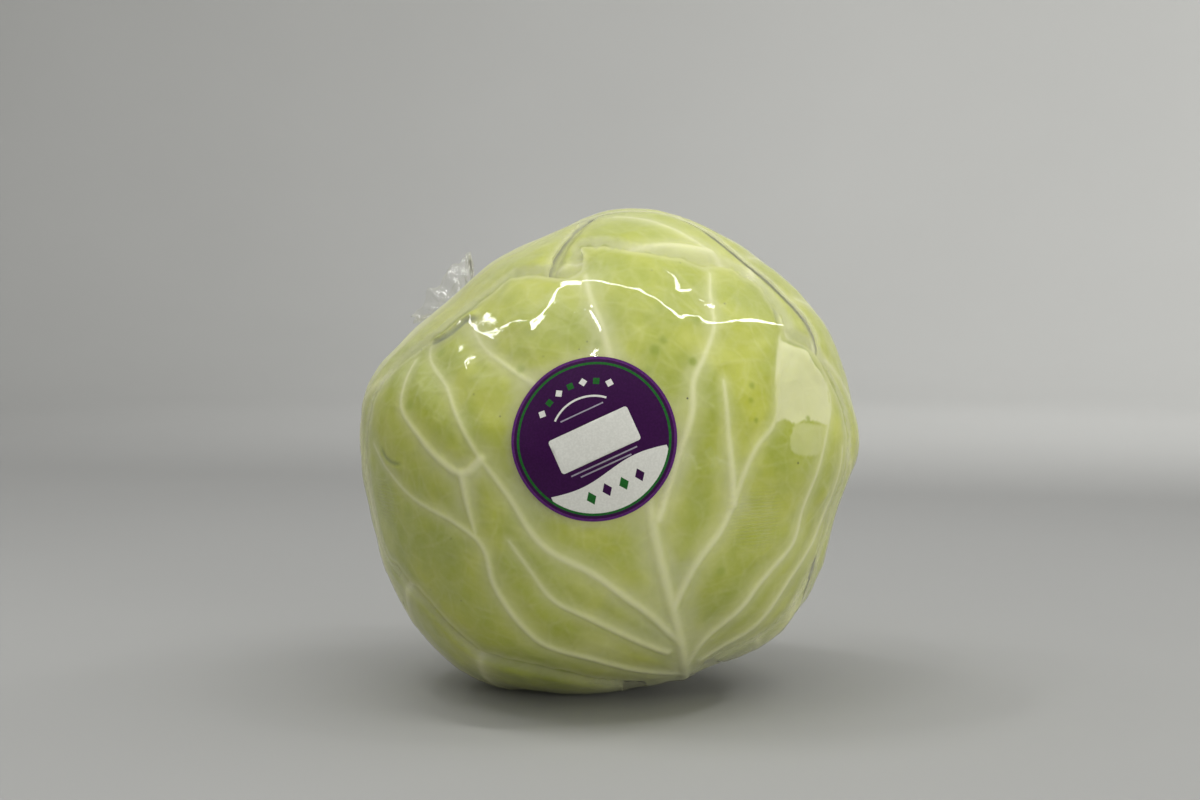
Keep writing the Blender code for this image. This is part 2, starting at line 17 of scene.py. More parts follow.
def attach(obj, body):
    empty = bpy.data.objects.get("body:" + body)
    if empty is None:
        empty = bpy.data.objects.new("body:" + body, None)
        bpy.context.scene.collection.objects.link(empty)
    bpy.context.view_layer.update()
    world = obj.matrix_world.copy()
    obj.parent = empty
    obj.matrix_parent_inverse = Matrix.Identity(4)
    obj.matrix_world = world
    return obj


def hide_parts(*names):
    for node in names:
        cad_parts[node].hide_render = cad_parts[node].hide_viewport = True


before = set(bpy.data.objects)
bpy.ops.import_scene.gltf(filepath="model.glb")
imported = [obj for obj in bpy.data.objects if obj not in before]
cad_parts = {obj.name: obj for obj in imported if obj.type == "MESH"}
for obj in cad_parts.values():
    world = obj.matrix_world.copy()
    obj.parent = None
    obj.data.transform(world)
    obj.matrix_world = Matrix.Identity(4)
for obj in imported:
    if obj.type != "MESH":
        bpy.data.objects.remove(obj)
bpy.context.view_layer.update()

MM = 0.001

# Camera, with pixels in the photograph's frame
PHOTO_WIDTH = 1200
PHOTO_HEIGHT = 800
LENS = 70.0
SENSOR = 36.0
FOCAL_PIXELS = LENS / SENSOR * PHOTO_WIDTH
CAMERA_DISTANCE = 0.856
CAMERA_ELEVATION = math.radians(6)
HEAD_PIXEL = (608, 448)         # where the head's centre is seen

# Strip lights: the pixels along which the film mirrors each, and its width in m
GLINTS = [
    ([(560, 283), (605, 283), (625, 290), (660, 305), (690, 317), (712, 323), (753, 321),
      (785, 327)], 0.043),
    ([(566, 284), (550, 311), (532, 332)], 0.05),
    ([(502, 328), (524, 325)], 0.022),
    ([(590, 310), (601, 331)], 0.03),
    ([(470, 321), (484, 335), (500, 340)], 0.012),
    ([(666, 273), (682, 288), (692, 292)], 0.04),
]
STRIP_RADIANCE = 20.0           # W a square metre and steradian
STRIP_DISTANCE = 1.05           # from the film, in m
GLINT_REACH = 0.02              # over which the head's slope is taken, as a share of its radius

# Head
HEAD_CENTRE = np.array([10.0, 0.0, 88.0]) * MM
# Radii of the outline seen from the front, in mm, every 15 degrees from +X over +Z
OUTLINE_RADII = [91, 91, 91.5, 89.5, 89, 89.5, 87, 82, 80.5, 79.5, 84, 91,
                 90.5, 90, 93, 96, 97, 93, 90, 89, 89, 92.5, 90, 87]
DEPTH_RADIUS = 87.0 * MM
REST_CLEARANCE = 0.7 * MM
STEM_AXIS = (0.289, -0.007, -0.957)
FRONT_LEAF_AXIS = (0.08, -0.99, 0.03)

# Leaves
LEAF_TURN = 137.5               # degrees round the stem from each leaf to the next
LEAF_SPACING = 1.55 * MM        # from a leaf's lamina to the next leaf's
LEAF_THICKNESS = 0.8 * MM
LEAF_FLOOR = 0.4 * MM           # how high the lowest leaf stays over the floor
MARGIN_THICKNESS = 0.5 * MM
LEAF_DEPTH = 1.6 * MM           # from the head's radius to the front leaf's lamina
COVERED_RELIEF = 0.15
COVER_MARGIN = 1.2              # degrees past a leaf's edge that still press down what is under it
COVER_FADE = 4.5                # degrees over which that pressure then ends
FINE_STEP = 0.62        # degrees between the front leaf's points
OTHER_STEP = 1.0
EDGE_CLEAR = 0.55               # least distance of inner points from the edge, in steps
EDGE_MERGE = 0.04               # points closer than this are merged, in steps
COARSE_STEP = 4.0               # of the outlines that say what covers what and where ribs end

# Ribs and lamina
CREST = 1.45 * MM               # a lateral rib's height over the lamina's lowest places
MIDRIB_WIDTH = 2.9              # degrees, half width at the leaf's base
MIDRIB_STRENGTH = 1.3
LATERAL_WIDTH = 1.75
RIB_NARROWING = 0.62
RIB_LOWERING = 0.6
CREST_SPREAD = 1.25             # half width of a rib's crest, over that of its vein
VEIN_EDGE = 1.1                 # how steep the edge of a vein's core is
VEIN_HALO = 2.6                 # width of the pale zone round a rib, over the rib's own
RIB_INSET = 2.5
RIB_SHOULDER = 4.0              # degrees over which the lamina rises to a rib
SHOULDER_SHARE = 0.3            # of the rib's height
LAMINA_RISE = 1.2 * MM          # how far the lamina bulges between the ribs
LAMINA_FOOT = 0.62              # share of that rise right beside a rib
LAMINA_REACH = 6.0              # degrees from a rib to where the lamina has risen
BULGE_WAVE = 42 * MM
PUCKER = 0.16 * MM
PUCKER_WAVE = 9 * MM
PUCKER_START = 3.0              # degrees from a rib to where the puckers are full
MINOR_WIDTH = 0.75
MINOR_HEIGHT = 0.1 * MM
MINOR_SPACING = 8.0
MINOR_STEP = 1.9                # degrees between its points
MINOR_TURN = (42, 68)           # degrees at which it leaves its rib
MINOR_BEND = (0.5, 3.0)
MINOR_SWAY = 9
MINOR_TONE = 0.2
MINOR_FADING = 0.7              # how much lower and fainter it is at its end
MARGIN_WIDTH = 2.4              # degrees of the leaf's edge that are thinner and paler
MARGIN_DROOP = 0.62 * MM        # how far the leaf's edge lies down on the next leaf
DROOP_WIDTH = 4.5
CREASE_HEIGHT = 1.45 * MM
CREASE_REACH = 11.0
CREASE_TOP = 0.5                # degrees over which its top is rounded
SWELL_MEAN = 0.85               # share of the lamina's rise that is reached on average
SWELL_VARIES = 0.4
SWELL_MOST = 1.45
VEIN_SOFT = 0.45                # share of a vein's tone in its soft zone, the rest being in its core
VEIN_THIN = 0.55                # share of a vein's tone that doesn't weaken as its rib gets lower
EDGE_CRINKLE = 0.45             # degrees
MARK_STEP = 0.7                 # degrees between the points of a fold or worn place
MARK_ENDS = 5.0                 # a mark fades over its length divided by this, at both ends
PAINTED_SHADE_WIDTH = 0.55               # degrees, of the painted shade in the hollow beside a fold
PAINTED_SHADE_OFFSET = 1.1               # its distance from the fold, over the width of the fold's steep side
# Round marks: how far each kind reaches over its radius, and how steep its edge is
PALE_SPOT_EDGE = (1.5, 1.3)
SPOT_EDGE = (1.8, 1.4)
SPECK_EDGE = (1.0, 1.5)
BASE_TOP = -52                  # degrees, where the pale foot of a leaf starts
BASE_FADE = 26
SHARP_ANGLE = math.radians(50)  # edges steeper than this are shaded sharp

# Leaf colours: the pale foot of a leaf, soft spots, painted shade in the hollows beside folds, and specks
BASE_COLOUR = (0.72, 0.74, 0.52)
SPOT_COLOUR = (0.27, 0.34, 0.012)
PAINTED_SHADE_COLOUR = (0.085, 0.125, 0.014)
SPECK_COLOUR = (0.035, 0.028, 0.015)

# Stem
STEM_RADIUS = 14.5 * MM
STEM_INNER = 46.0 * MM
STEM_OUTER = 84.5 * MM
STEM_LOBES = 5
STEM_LOBE_DEPTH = 0.03
HEART_DEPTH = 1.5 * MM          # from where one more leaf's lamina would lie to the heart
SOCKET_CLEARANCE = 0.6 * MM     # round the stem in the heart

# Film
FILM_THICKNESS = 0.06 * MM
FILM_CLEARANCE = 0.3 * MM
FILM_POINTS = 25000
FILM_PULL = 0.32                # how much closer together its points lie towards the front
FILM_PASSES = 700
FILM_FLOOR = 0.02 * MM
FILM_GAP = 1.0 * MM             # least distance between the film's points
RIDGE_GAP = 0.45 * MM           # least distance between those on a ridge
RIDGE_BANDS = (0.5 * MM, 1.0 * MM, 1.5 * MM, 2.1 * MM, 2.9 * MM)
HAZE_START = 0.04               # mm past its clearance where the film starts to look hazy
HAZE_SPAN = 0.8                 # mm more until it is fully hazy
FILM_MILK = 0.24                # share of milky white where the film is hazy
FILM_MILK_LEAST = 0.005         # where it clings
FILM_MILK_LINES = 0.13          # in its stretch lines
FILM_MILK_EDGE = 0.42           # at a grazing angle
FILM_MIRROR = 0.055             # share that is mirrored, seen straight on
FILM_MIRROR_EDGE = 0.3          # how much more at a grazing angle
NECK_AXIS = (-0.58, 0.62, 0.50)
NECK_SIDES = 120
NECK_PLEATS = 13
# Rings of the gathered neck: distance from the head's centre, half width, half depth, in mm, and
# the depth of its pleats as a share of those
NECK_RINGS = [
    (92.0, 12.5, 12.5, 0.0), (94.0, 9.2, 8.8, 0.10), (95.7, 7.0, 6.0, 0.22), (97.2, 6.0, 4.6, 0.28),
    (98.6, 6.0, 4.4, 0.26), (100.8, 8.4, 4.6, 0.2), (104.0, 12.0, 5.0, 0.15), (107.5, 15.0, 4.6, 0.12),
    (110.5, 17.0, 4.0, 0.1),
]
NECK_ROWS = 22
NECK_REACH = math.radians(34)   # from the neck's axis to where its pleats end
NECK_RUFFLES = [(1.2, 9, 200), (0.4, 3.5, 210)]    # height and wavelength in mm, seed
NECK_PLEAT_HEIGHT = 1.76 * MM
NECK_LOOSE = (99, 10)           # mm from the head's centre where it ruffles, mm more until fully

# Label
LABEL_RADIUS = 27.5 * MM
LABEL_THICKNESS = 0.15 * MM
LABEL_LIFT = 1.0 * MM
LABEL_OVER_FILM = 0.05 * MM
LABEL_AXIS = (-0.055, -0.993, 0.142)
LABEL_TILT = math.radians(25)

# Front leaf, in degrees
FRONT_OUTLINE = [
    (9, -77), (7, -68), (12, -63), (22, -60), (33, -55), (44, -48), (54, -39), (61, -28), (65, -14),
    (65, -3), (62, 5), (58, 12), (54, 15), (50, 18), (52, 27), (51, 35), (45, 41), (37, 43), (28, 47),
    (19, 52), (12, 58), (8, 61), (5, 52), (0, 51), (-6, 56), (-14, 61), (-22, 58), (-30, 56), (-37, 53),
    (-44, 51), (-53, 48), (-63, 40), (-72, 28), (-79, 13), (-80, 0), (-77, -9), (-69, -15), (-61, -22),
    (-55, -30), (-49, -38), (-40, -43), (-31, -50), (-21, -59), (-12, -66), (-9, -77),
]
FRONT_MIDRIB = [(1, -77), (1, -60), (1, -40), (1, -20), (2, -8), (2, 5), (3, 20), (4, 32), (4, 41), (5, 49)]
FRONT_LATERALS = [
    [(1, -50), (-4, -38), (-9, -30), (-15, -21), (-24, -11), (-28, 1), (-32, 11), (-34, 17), (-36, 24),
     (-38, 32), (-43, 42), (-44, 48)],
    [(-32, 11), (-38, 9), (-44, 15), (-48, 22), (-52, 30), (-51, 38), (-49, 45)],
    [(-38, 9), (-39, 1), (-39, -6)],
    [(1, -68), (-12, -57), (-22, -47), (-31, -39), (-35, -30), (-38, -19), (-38, -9), (-44, -2), (-55, 6),
     (-63, 16), (-68, 24)],
    [(0, -76), (-20, -56), (-30, -47), (-40, -39), (-48, -34), (-54, -23), (-60, -15), (-68, -8),
     (-75, -3)],
    [(-3, -52), (-18, -34), (-25, -26), (-28, -17), (-31, -9)],
    [(3, -13), (7, -7), (11, -1), (17, 7), (20, 14), (25, 19), (30, 25), (33, 33), (37, 40)],
    [(1, -37), (8, -27), (16, -21), (21, -16), (25, -10), (30, -5), (37, -1), (41, 7), (46, 14),
     (49, 20)],
    [(2, -61), (7, -52), (17, -44), (23, -39), (30, -36), (37, -33), (42, -25), (46, -19), (52, -11),
     (59, -3), (60, 4)],
    [(6, -62), (20, -54), (30, -46), (37, -42), (46, -38), (54, -32), (57, -25), (60, -16)],
    [(2, 8), (-9, 17), (-15, 24), (-22, 33), (-26, 39), (-29, 47)],
    [(21, -16), (24, 0), (27, 12)],
]
FRONT_CREASE = [(-20, 44), (-11, 41), (-5, 45), (0, 49), (8, 44), (13, 40), (19, 34), (25, 29), (32, 25),
                (42, 24), (50, 20)]

# The other leaves: half width and tip in degrees, and the seed of their edge and ribs
OTHER_LEAVES = [(78, 84, 11), (75, 101, 23), (74, 81, 37), (76, 92, 41)]
LEAF_COUNT = 1 + len(OTHER_LEAVES)
OTHER_BASE = -75.0
OTHER_BASE_WIDTH = 9.0
OTHER_EDGE_ROWS = 17
OTHER_LOW_WIDEST = 0.8
OTHER_FULLNESS = 0.7
OTHER_EDGE_WAVE = 2.5
OTHER_WAVE_TURNS = (21, 17, 19, 23)
OTHER_SWAY = 3.0
OTHER_MIDRIB_COURSE = [(0.0, OTHER_BASE), (0.4, -45), (1.0, -10), (0.5, 32), (-1.0, 68)]
OTHER_LATERALS = 9
OTHER_LATERAL_JITTER = 2.0
OTHER_LATERAL_RISE = (0.85, 1.15)
OTHER_FIRST_LATERAL = -66.0
OTHER_LATERAL_STEP = 13.5
OTHER_LATERAL_COURSE = [(0.16, 9), (0.38, 20), (0.62, 29), (0.82, 40), (0.93, 52)]

# Where the front leaf's lamina presses against the film or stands back from it, by pixel:
# place, radius in pixels, rise in mm
FRONT_BULGES = [
    (560, 310, 55, 0.7), (640, 300, 60, 0.7), (720, 290, 50, 0.7), (700, 370, 50, 0.6),
    (650, 390, 40, 0.5), (735, 420, 35, 0.5), (695, 480, 35, 0.6), (600, 545, 45, 0.5),
    (460, 360, 40, 0.3), (415, 375, 22, 0.5), (440, 420, 30, -0.3), (480, 560, 50, -0.5),
    (600, 620, 60, -0.5), (700, 600, 50, -0.4), (800, 400, 30, -0.6), (757, 552, 14, 0.7),
    (826, 494, 12, 0.7), (395, 530, 18, 0.5), (500, 300, 30, 0.5),
]
# Folded or torn edges of the front leaf: route in pixels, height in mm, degrees across on the left
# and on the right of the route, and how dark the painted shade in the hollow beside its steep side is
FRONT_LIPS = [
    ([(428, 341), (442, 337), (456, 327), (466, 319), (480, 315)], 1.7, 4.2, 0.8, 1.0),
    ([(764, 272), (772, 283), (777, 300), (781, 330)], 0.9, 4.0, 0.8, 0.5),
    ([(377, 447), (384, 460), (392, 466), (402, 467)], 0.6, 0.7, 3.0, 0.7),
    ([(782, 341), (796, 346), (807, 351), (814, 364), (829, 382)], 0.7, 0.8, 4.0, 0.35),
]
# Pale folds and pale worn places of the front leaf, by pixel: route, width in degrees, tone; and
# place, radius in pixels, tone
FRONT_PALE_LINES = [
    ([(782, 329), (780, 350), (779, 374), (779, 400)], 0.9, 0.8),
    ([(782, 343), (796, 348), (807, 352), (812, 359), (814, 366), (822, 374), (829, 383)], 0.9, 0.95),
    ([(581, 246), (580, 258), (580, 269)], 0.9, 0.7),
    ([(774, 286), (779, 305), (782, 329)], 0.8, 0.6),
    ([(806, 362), (804, 380), (800, 400), (797, 425)], 0.7, 0.5),
]
FRONT_PALE_SPOTS = [(648, 600, 26, 0.3), (700, 640, 26, 0.35), (600, 655, 34, 0.35)]
# Pale places with a clear edge, where the front leaf's skin is torn off, by pixel: outline, tone
FRONT_PALE_PATCHES = [
    ([(782, 341), (796, 347), (805, 351), (811, 358), (815, 365), (820, 373), (829, 383), (831, 395),
      (833, 416), (829, 424), (818, 421), (807, 420), (797, 423), (787, 418), (778, 421), (780, 400),
      (780, 370)], 0.85),
    ([(797, 425), (812, 423), (829, 428), (825, 440), (822, 453), (807, 456), (792, 449)], 0.4),
]
PATCH_EDGE = 0.35               # degrees over which such a place fades
# Soft dark spots and small specks on the front leaf, by pixel: place, radius in mm, and for the
# spots depth of tone
FRONT_SPOTS = [
    (655, 350, 1.6, 0.8), (663, 340, 1.2, 0.6), (693, 361, 1.3, 0.8), (753, 385, 1.0, 0.7),
    (696, 320, 1.5, 0.5), (648, 370, 1.2, 0.5), (520, 368, 1.4, 0.6), (752, 400, 0.9, 0.5),
    (757, 420, 0.8, 0.7), (597, 343, 1.2, 0.5), (440, 352, 1.8, 0.6), (811, 418, 0.9, 0.7),
    (722, 572, 1.3, 0.5), (408, 405, 1.8, 0.5),
]
FRONT_SPECKS = [
    (688, 398, 0.5), (418, 348, 0.6), (431, 321, 0.5), (587, 341, 0.35), (579, 349, 0.3), (543, 356, 0.3),
    (473, 394, 0.3), (499, 416, 0.35), (725, 303, 0.45), (681, 261, 0.4), (652, 270, 0.35), (449, 540, 0.3),
    (460, 602, 0.3), (429, 591, 0.3), (799, 463, 0.5),
]

# Ridges of the stretched film, by pixel: route, and half widths in mm at even steps along it
FILM_RIDGES = [
    ([(560, 283), (605, 283), (625, 290), (660, 305), (690, 317), (712, 324), (753, 321), (785, 327)],
     [0.6, 0.6, 0.6, 0.7, 0.9, 1.3, 1.1, 0.6, 1.0, 0.8, 0.5]),
    ([(567, 282), (560, 297), (550, 311), (540, 323), (532, 332)], [0.6, 1.5, 1.6, 1.1, 0.5]),
    ([(532, 331), (522, 324), (510, 326), (498, 329)], [0.5, 0.9, 1.2, 0.7]),
    ([(488, 333), (498, 331), (507, 330)], [0.6, 0.8, 0.5]),
    ([(468, 320), (472, 328), (484, 335), (497, 341)], [0.6, 0.5, 0.5, 0.6]),
    ([(588, 309), (596, 322), (604, 340)], [0.8, 1.1, 0.7]),
    ([(664, 272), (677, 279), (672, 288), (684, 294), (694, 287)], [0.6, 0.7, 0.5, 0.8, 0.5]),
    ([(646, 323), (657, 318)], [0.6, 0.5]),
    ([(703, 303), (712, 303)], [0.6, 0.5]),
]
RIDGE_LIFT = 0.45 * MM          # over the head's radius
RIDGE_SIDE = 1.3 * MM           # over which a ridge falls away to each side
NECK_HAZE = 1.2                 # haze round the neck, fading from the near to the far angle
NECK_HAZE_NEAR = math.radians(40)
NECK_HAZE_FAR = math.radians(76)
NECK_TUBE_HAZE = 0.35
# Places where the film shows fine stretch lines, by pixel: place, radius in pixels
FILM_STRETCHED = [((385, 502), 24), ((758, 520), 30)]
HEAD_PIXELS = 240               # about the head's radius in the photograph

# Soft lights: name, place, what it shines at, width, height, watts, and whether gloss mirrors it
SOFTBOXES = [
    ("overhead_softbox", (-0.15, -0.1, 1.35), HEAD_CENTRE, 1.0, 0.8, 0.3, True),
    ("left_softbox", (-0.9, -1.0, 0.3), HEAD_CENTRE, 0.7, 0.4, 1.2, False),
    ("right_softbox", (0.85, -1.2, 0.3), HEAD_CENTRE, 0.9, 0.45, 7.5, False),
    ("backdrop_light", (0.6, 0.7, 0.8), (0.9, 1.9, 0.45), 1.6, 0.5, 16.0, False),
]
WORLD_LOW = (0.27, 0.27, 0.27)
WORLD_HIGH = (0.62, 0.62, 0.63)

# Studio floor: flat to the first radius, then curved up to a wall
FLOOR_FLAT = 1.3
FLOOR_CURVE = 0.6
FLOOR_TOP = 0.9


def unit(vector):
    v = np.asarray(vector, dtype=float)
    return v / np.linalg.norm(v)


def units(vectors):
    return vectors / np.linalg.norm(vectors, axis=1)[:, None]


def ease(t):
    """A smooth step from 0 to 1."""
    t = np.clip(t, 0, 1)
    return t * t * (3 - 2 * t)


def tapered(along):
    """1 along a mark's middle, fading to 0 at both of its ends."""
    return ease(MARK_ENDS * along) * ease(MARK_ENDS * (1 - along))


def round_mark(points, centre, reach, edge):
    """1 in the middle of a round mark, fading to 0 at its edge."""
    spread, slope = edge
    away = np.sqrt(((points - centre) ** 2).sum(axis=1))
    return ease(slope * (1 - away / (spread * reach)))


def spline(a, b, c, e, t):
    """The Catmull-Rom curve from b to c at t, between 0 and 1."""
    return b + 0.5 * t * (c - a + t * (2 * a - 5 * b + 4 * c - e + t * (3 * (b - c) + e - a)))


def ripple(points, wavelength, seed, waves=26):
    """Smooth noise, mostly between -1 and 1, from waves in random directions."""
    rng = random.Random(seed)
    total = np.zeros(len(points))
    for _ in range(waves):
        heading = unit([rng.gauss(0, 1) for _ in range(3)])
        length = wavelength * rng.uniform(0.7, 1.6)
        total += np.sin(points @ heading * (2 * math.pi / length) + rng.uniform(0, 2 * math.pi))
    return total / math.sqrt(2 * waves)


def floor_radius(d, clearance):
    """The radius at which the directions d come within the clearance of the floor."""
    return (HEAD_CENTRE[2] - clearance) / np.maximum(-d[..., 2], 1e-6)


def base_radius(d):
    """The head's outermost radius in the directions d, flat where the head rests."""
    steps = len(OUTLINE_RADII)
    radii = np.array(OUTLINE_RADII, dtype=float) * MM
    turn = np.mod(np.arctan2(d[..., 2], d[..., 0]), 2 * math.pi) / (2 * math.pi) * steps
    i = np.floor(turn).astype(int)
    a, b, c, e = [radii[(i + k) % steps] for k in (-1, 0, 1, 2)]
    outline = spline(a, b, c, e, turn - i)
    sideways = d[..., 0] ** 2 + d[..., 2] ** 2
    radius = DEPTH_RADIUS + (outline - DEPTH_RADIUS) * sideways
    return np.minimum(radius, floor_radius(d, REST_CLEARANCE))


def place(d, radius):
    return HEAD_CENTRE + d * radius[:, None]


def camera_axes():
    """The camera's place, and its right, up and forward directions."""
    back = np.array([0, -math.cos(CAMERA_ELEVATION), math.sin(CAMERA_ELEVATION)])
    right = np.array([1.0, 0.0, 0.0])
    up = np.cross(right, -back)
    yaw = math.atan((HEAD_PIXEL[0] - PHOTO_WIDTH / 2) / FOCAL_PIXELS)
    pitch = math.atan((HEAD_PIXEL[1] - PHOTO_HEIGHT / 2) / FOCAL_PIXELS)
    forward = -back * math.cos(pitch) + up * math.sin(pitch)
    up = np.cross(right, forward)
    forward = forward * math.cos(yaw) - right * math.sin(yaw)
    return HEAD_CENTRE + CAMERA_DISTANCE * back, np.cross(forward, up), up, forward


def seen(pixels):
    """Directions from the head's centre of the places that are seen at the pixels."""
    eye, right, up, forward = camera_axes()
    p = np.array(pixels, dtype=float)
    across = (p[:, 0] - PHOTO_WIDTH / 2) / FOCAL_PIXELS
    down = (p[:, 1] - PHOTO_HEIGHT / 2) / FOCAL_PIXELS
    ray = units(forward + across[:, None] * right - down[:, None] * up)
    far = ray @ (HEAD_CENTRE - eye)
    near = far - 1.5 * DEPTH_RADIUS
    for _ in range(40):
        middle = (near + far) / 2
        away = eye + ray * middle[:, None] - HEAD_CENTRE
        distance = np.linalg.norm(away, axis=1)
        outside = distance > base_radius(away / distance[:, None])
        near = np.where(outside, middle, near)
        far = np.where(outside, far, middle)
    return units(eye + ray * near[:, None] - HEAD_CENTRE)


def leaf_frame(index):
    """Middle, right and up directions of a leaf, each leaf turned on round the stem from the last."""
    stem = unit(STEM_AXIS)
    front = unit(FRONT_LEAF_AXIS)
    angle = math.radians(LEAF_TURN * index)
    along = stem * (stem @ front) * (1 - math.cos(angle))
    middle = unit(front * math.cos(angle) - np.cross(stem, front) * math.sin(angle) + along)
    up = unit(middle * (stem @ middle) - stem)
    return middle, np.cross(up, middle), up


def directions(axes, uv):
    """Unit vectors of the points uv, degrees measured along great circles from the leaf's middle."""
    middle, right, up = axes
    reach = np.hypot(uv[:, 0], uv[:, 1])
    scale = np.sin(np.radians(reach)) / np.maximum(reach, 1e-9)
    return np.cos(np.radians(reach))[:, None] * middle + (scale * uv[:, 0])[:, None] * right \
        + (scale * uv[:, 1])[:, None] * up


def degrees_of(axes, d):
    """The inverse of directions."""
    middle, right, up = axes
    reach = np.degrees(np.arccos(np.clip(d @ middle, -1, 1)))
    scale = reach / np.maximum(np.sin(np.radians(reach)), 1e-9)
    return np.stack([d @ right * scale, d @ up * scale], axis=-1)


def smooth_route(points, step, closed=False):
    """A smooth curve through the points, with a point about every step."""
    p = np.array(points, dtype=float)
    n = len(p)
    result = []
    for i in range(n if closed else n - 1):
        picks = [(i + k) % n if closed else min(max(i + k, 0), n - 1) for k in (-1, 0, 1, 2)]
        a, b, c, e = p[picks]
        pieces = max(1, round(np.linalg.norm(c - b) / step))
        for t in np.arange(pieces) / pieces:
            result.append(spline(a, b, c, e, t))
    if not closed:
        result.append(p[-1])
    return np.array(result)


def nearest_on(points, route):
    """Distance to the route, share of its length, and the side on which each point lies, in a plane."""
    best = np.full(len(points), 1e9)
    along = np.zeros(len(points))
    side = np.zeros(len(points))
    flat = points.shape[1] == 2
    for i in range(len(route) - 1):
        a = route[i]
        ab = route[i + 1] - a
        t = np.clip((points - a) @ ab / max(ab @ ab, 1e-12), 0, 1)
        off = points - a - t[:, None] * ab
        gap = np.sqrt((off ** 2).sum(axis=1))
        near = gap < best
        best[near] = gap[near]
        along[near] = (i + t[near]) / (len(route) - 1)
        if flat:
            side[near] = (ab[0] * off[:, 1] - ab[1] * off[:, 0])[near]
    return best, along, side


def inside(uv, outline):
    """True for each point within the closed outline."""
    result = np.zeros(len(uv), dtype=bool)
    for a, b in zip(outline, np.roll(outline, -1, axis=0)):
        crosses = (a[1] > uv[:, 1]) != (b[1] > uv[:, 1])
        rise = b[1] - a[1] if abs(b[1] - a[1]) > 1e-12 else 1e-12
        result ^= crosses & (uv[:, 0] < a[0] + (uv[:, 1] - a[1]) / rise * (b[0] - a[0]))
    return result


def other_outline(half_width, tip, seed):
    """A rounded leaf with a waved edge, narrow at the stem."""
    rng = random.Random(seed)
    phases = [rng.uniform(0, 2 * math.pi) for _ in OTHER_WAVE_TURNS]
    right = []
    left = []
    for s in np.linspace(0, 1, OTHER_EDGE_ROWS):
        swell = math.sin(math.pi * s ** OTHER_LOW_WIDEST) ** OTHER_FULLNESS
        width = OTHER_BASE_WIDTH + (half_width - OTHER_BASE_WIDTH) * swell
        v = OTHER_BASE + (tip - OTHER_BASE) * s
        wave = OTHER_EDGE_WAVE * math.sin(math.pi * s)
        a, b, c, e = [wave * math.sin(turns * s + phase) for turns, phase in zip(OTHER_WAVE_TURNS, phases)]
        right.append((width + a, v + b))
        left.append((-width - c, v + e))
    return right + left[::-1]


def other_ribs(half_width, seed):
    """A midrib that bends a little, and laterals that leave it in turn to both sides."""
    rng = random.Random(seed + 1)
    sway = rng.uniform(-OTHER_SWAY, OTHER_SWAY)
    midrib = [(sway * share, v) for share, v in OTHER_MIDRIB_COURSE]
    laterals = []
    for i in range(OTHER_LATERALS):
        side = 1 if i % 2 else -1
        jitter = rng.uniform(-OTHER_LATERAL_JITTER, OTHER_LATERAL_JITTER)
        start = OTHER_FIRST_LATERAL + OTHER_LATERAL_STEP * i + jitter
        lift = rng.uniform(*OTHER_LATERAL_RISE)
        route = [(sway / 2, start)]
        for out, rise in OTHER_LATERAL_COURSE:
            route.append((side * out * half_width, start + rise * lift))
        laterals.append(route)
    return midrib, laterals


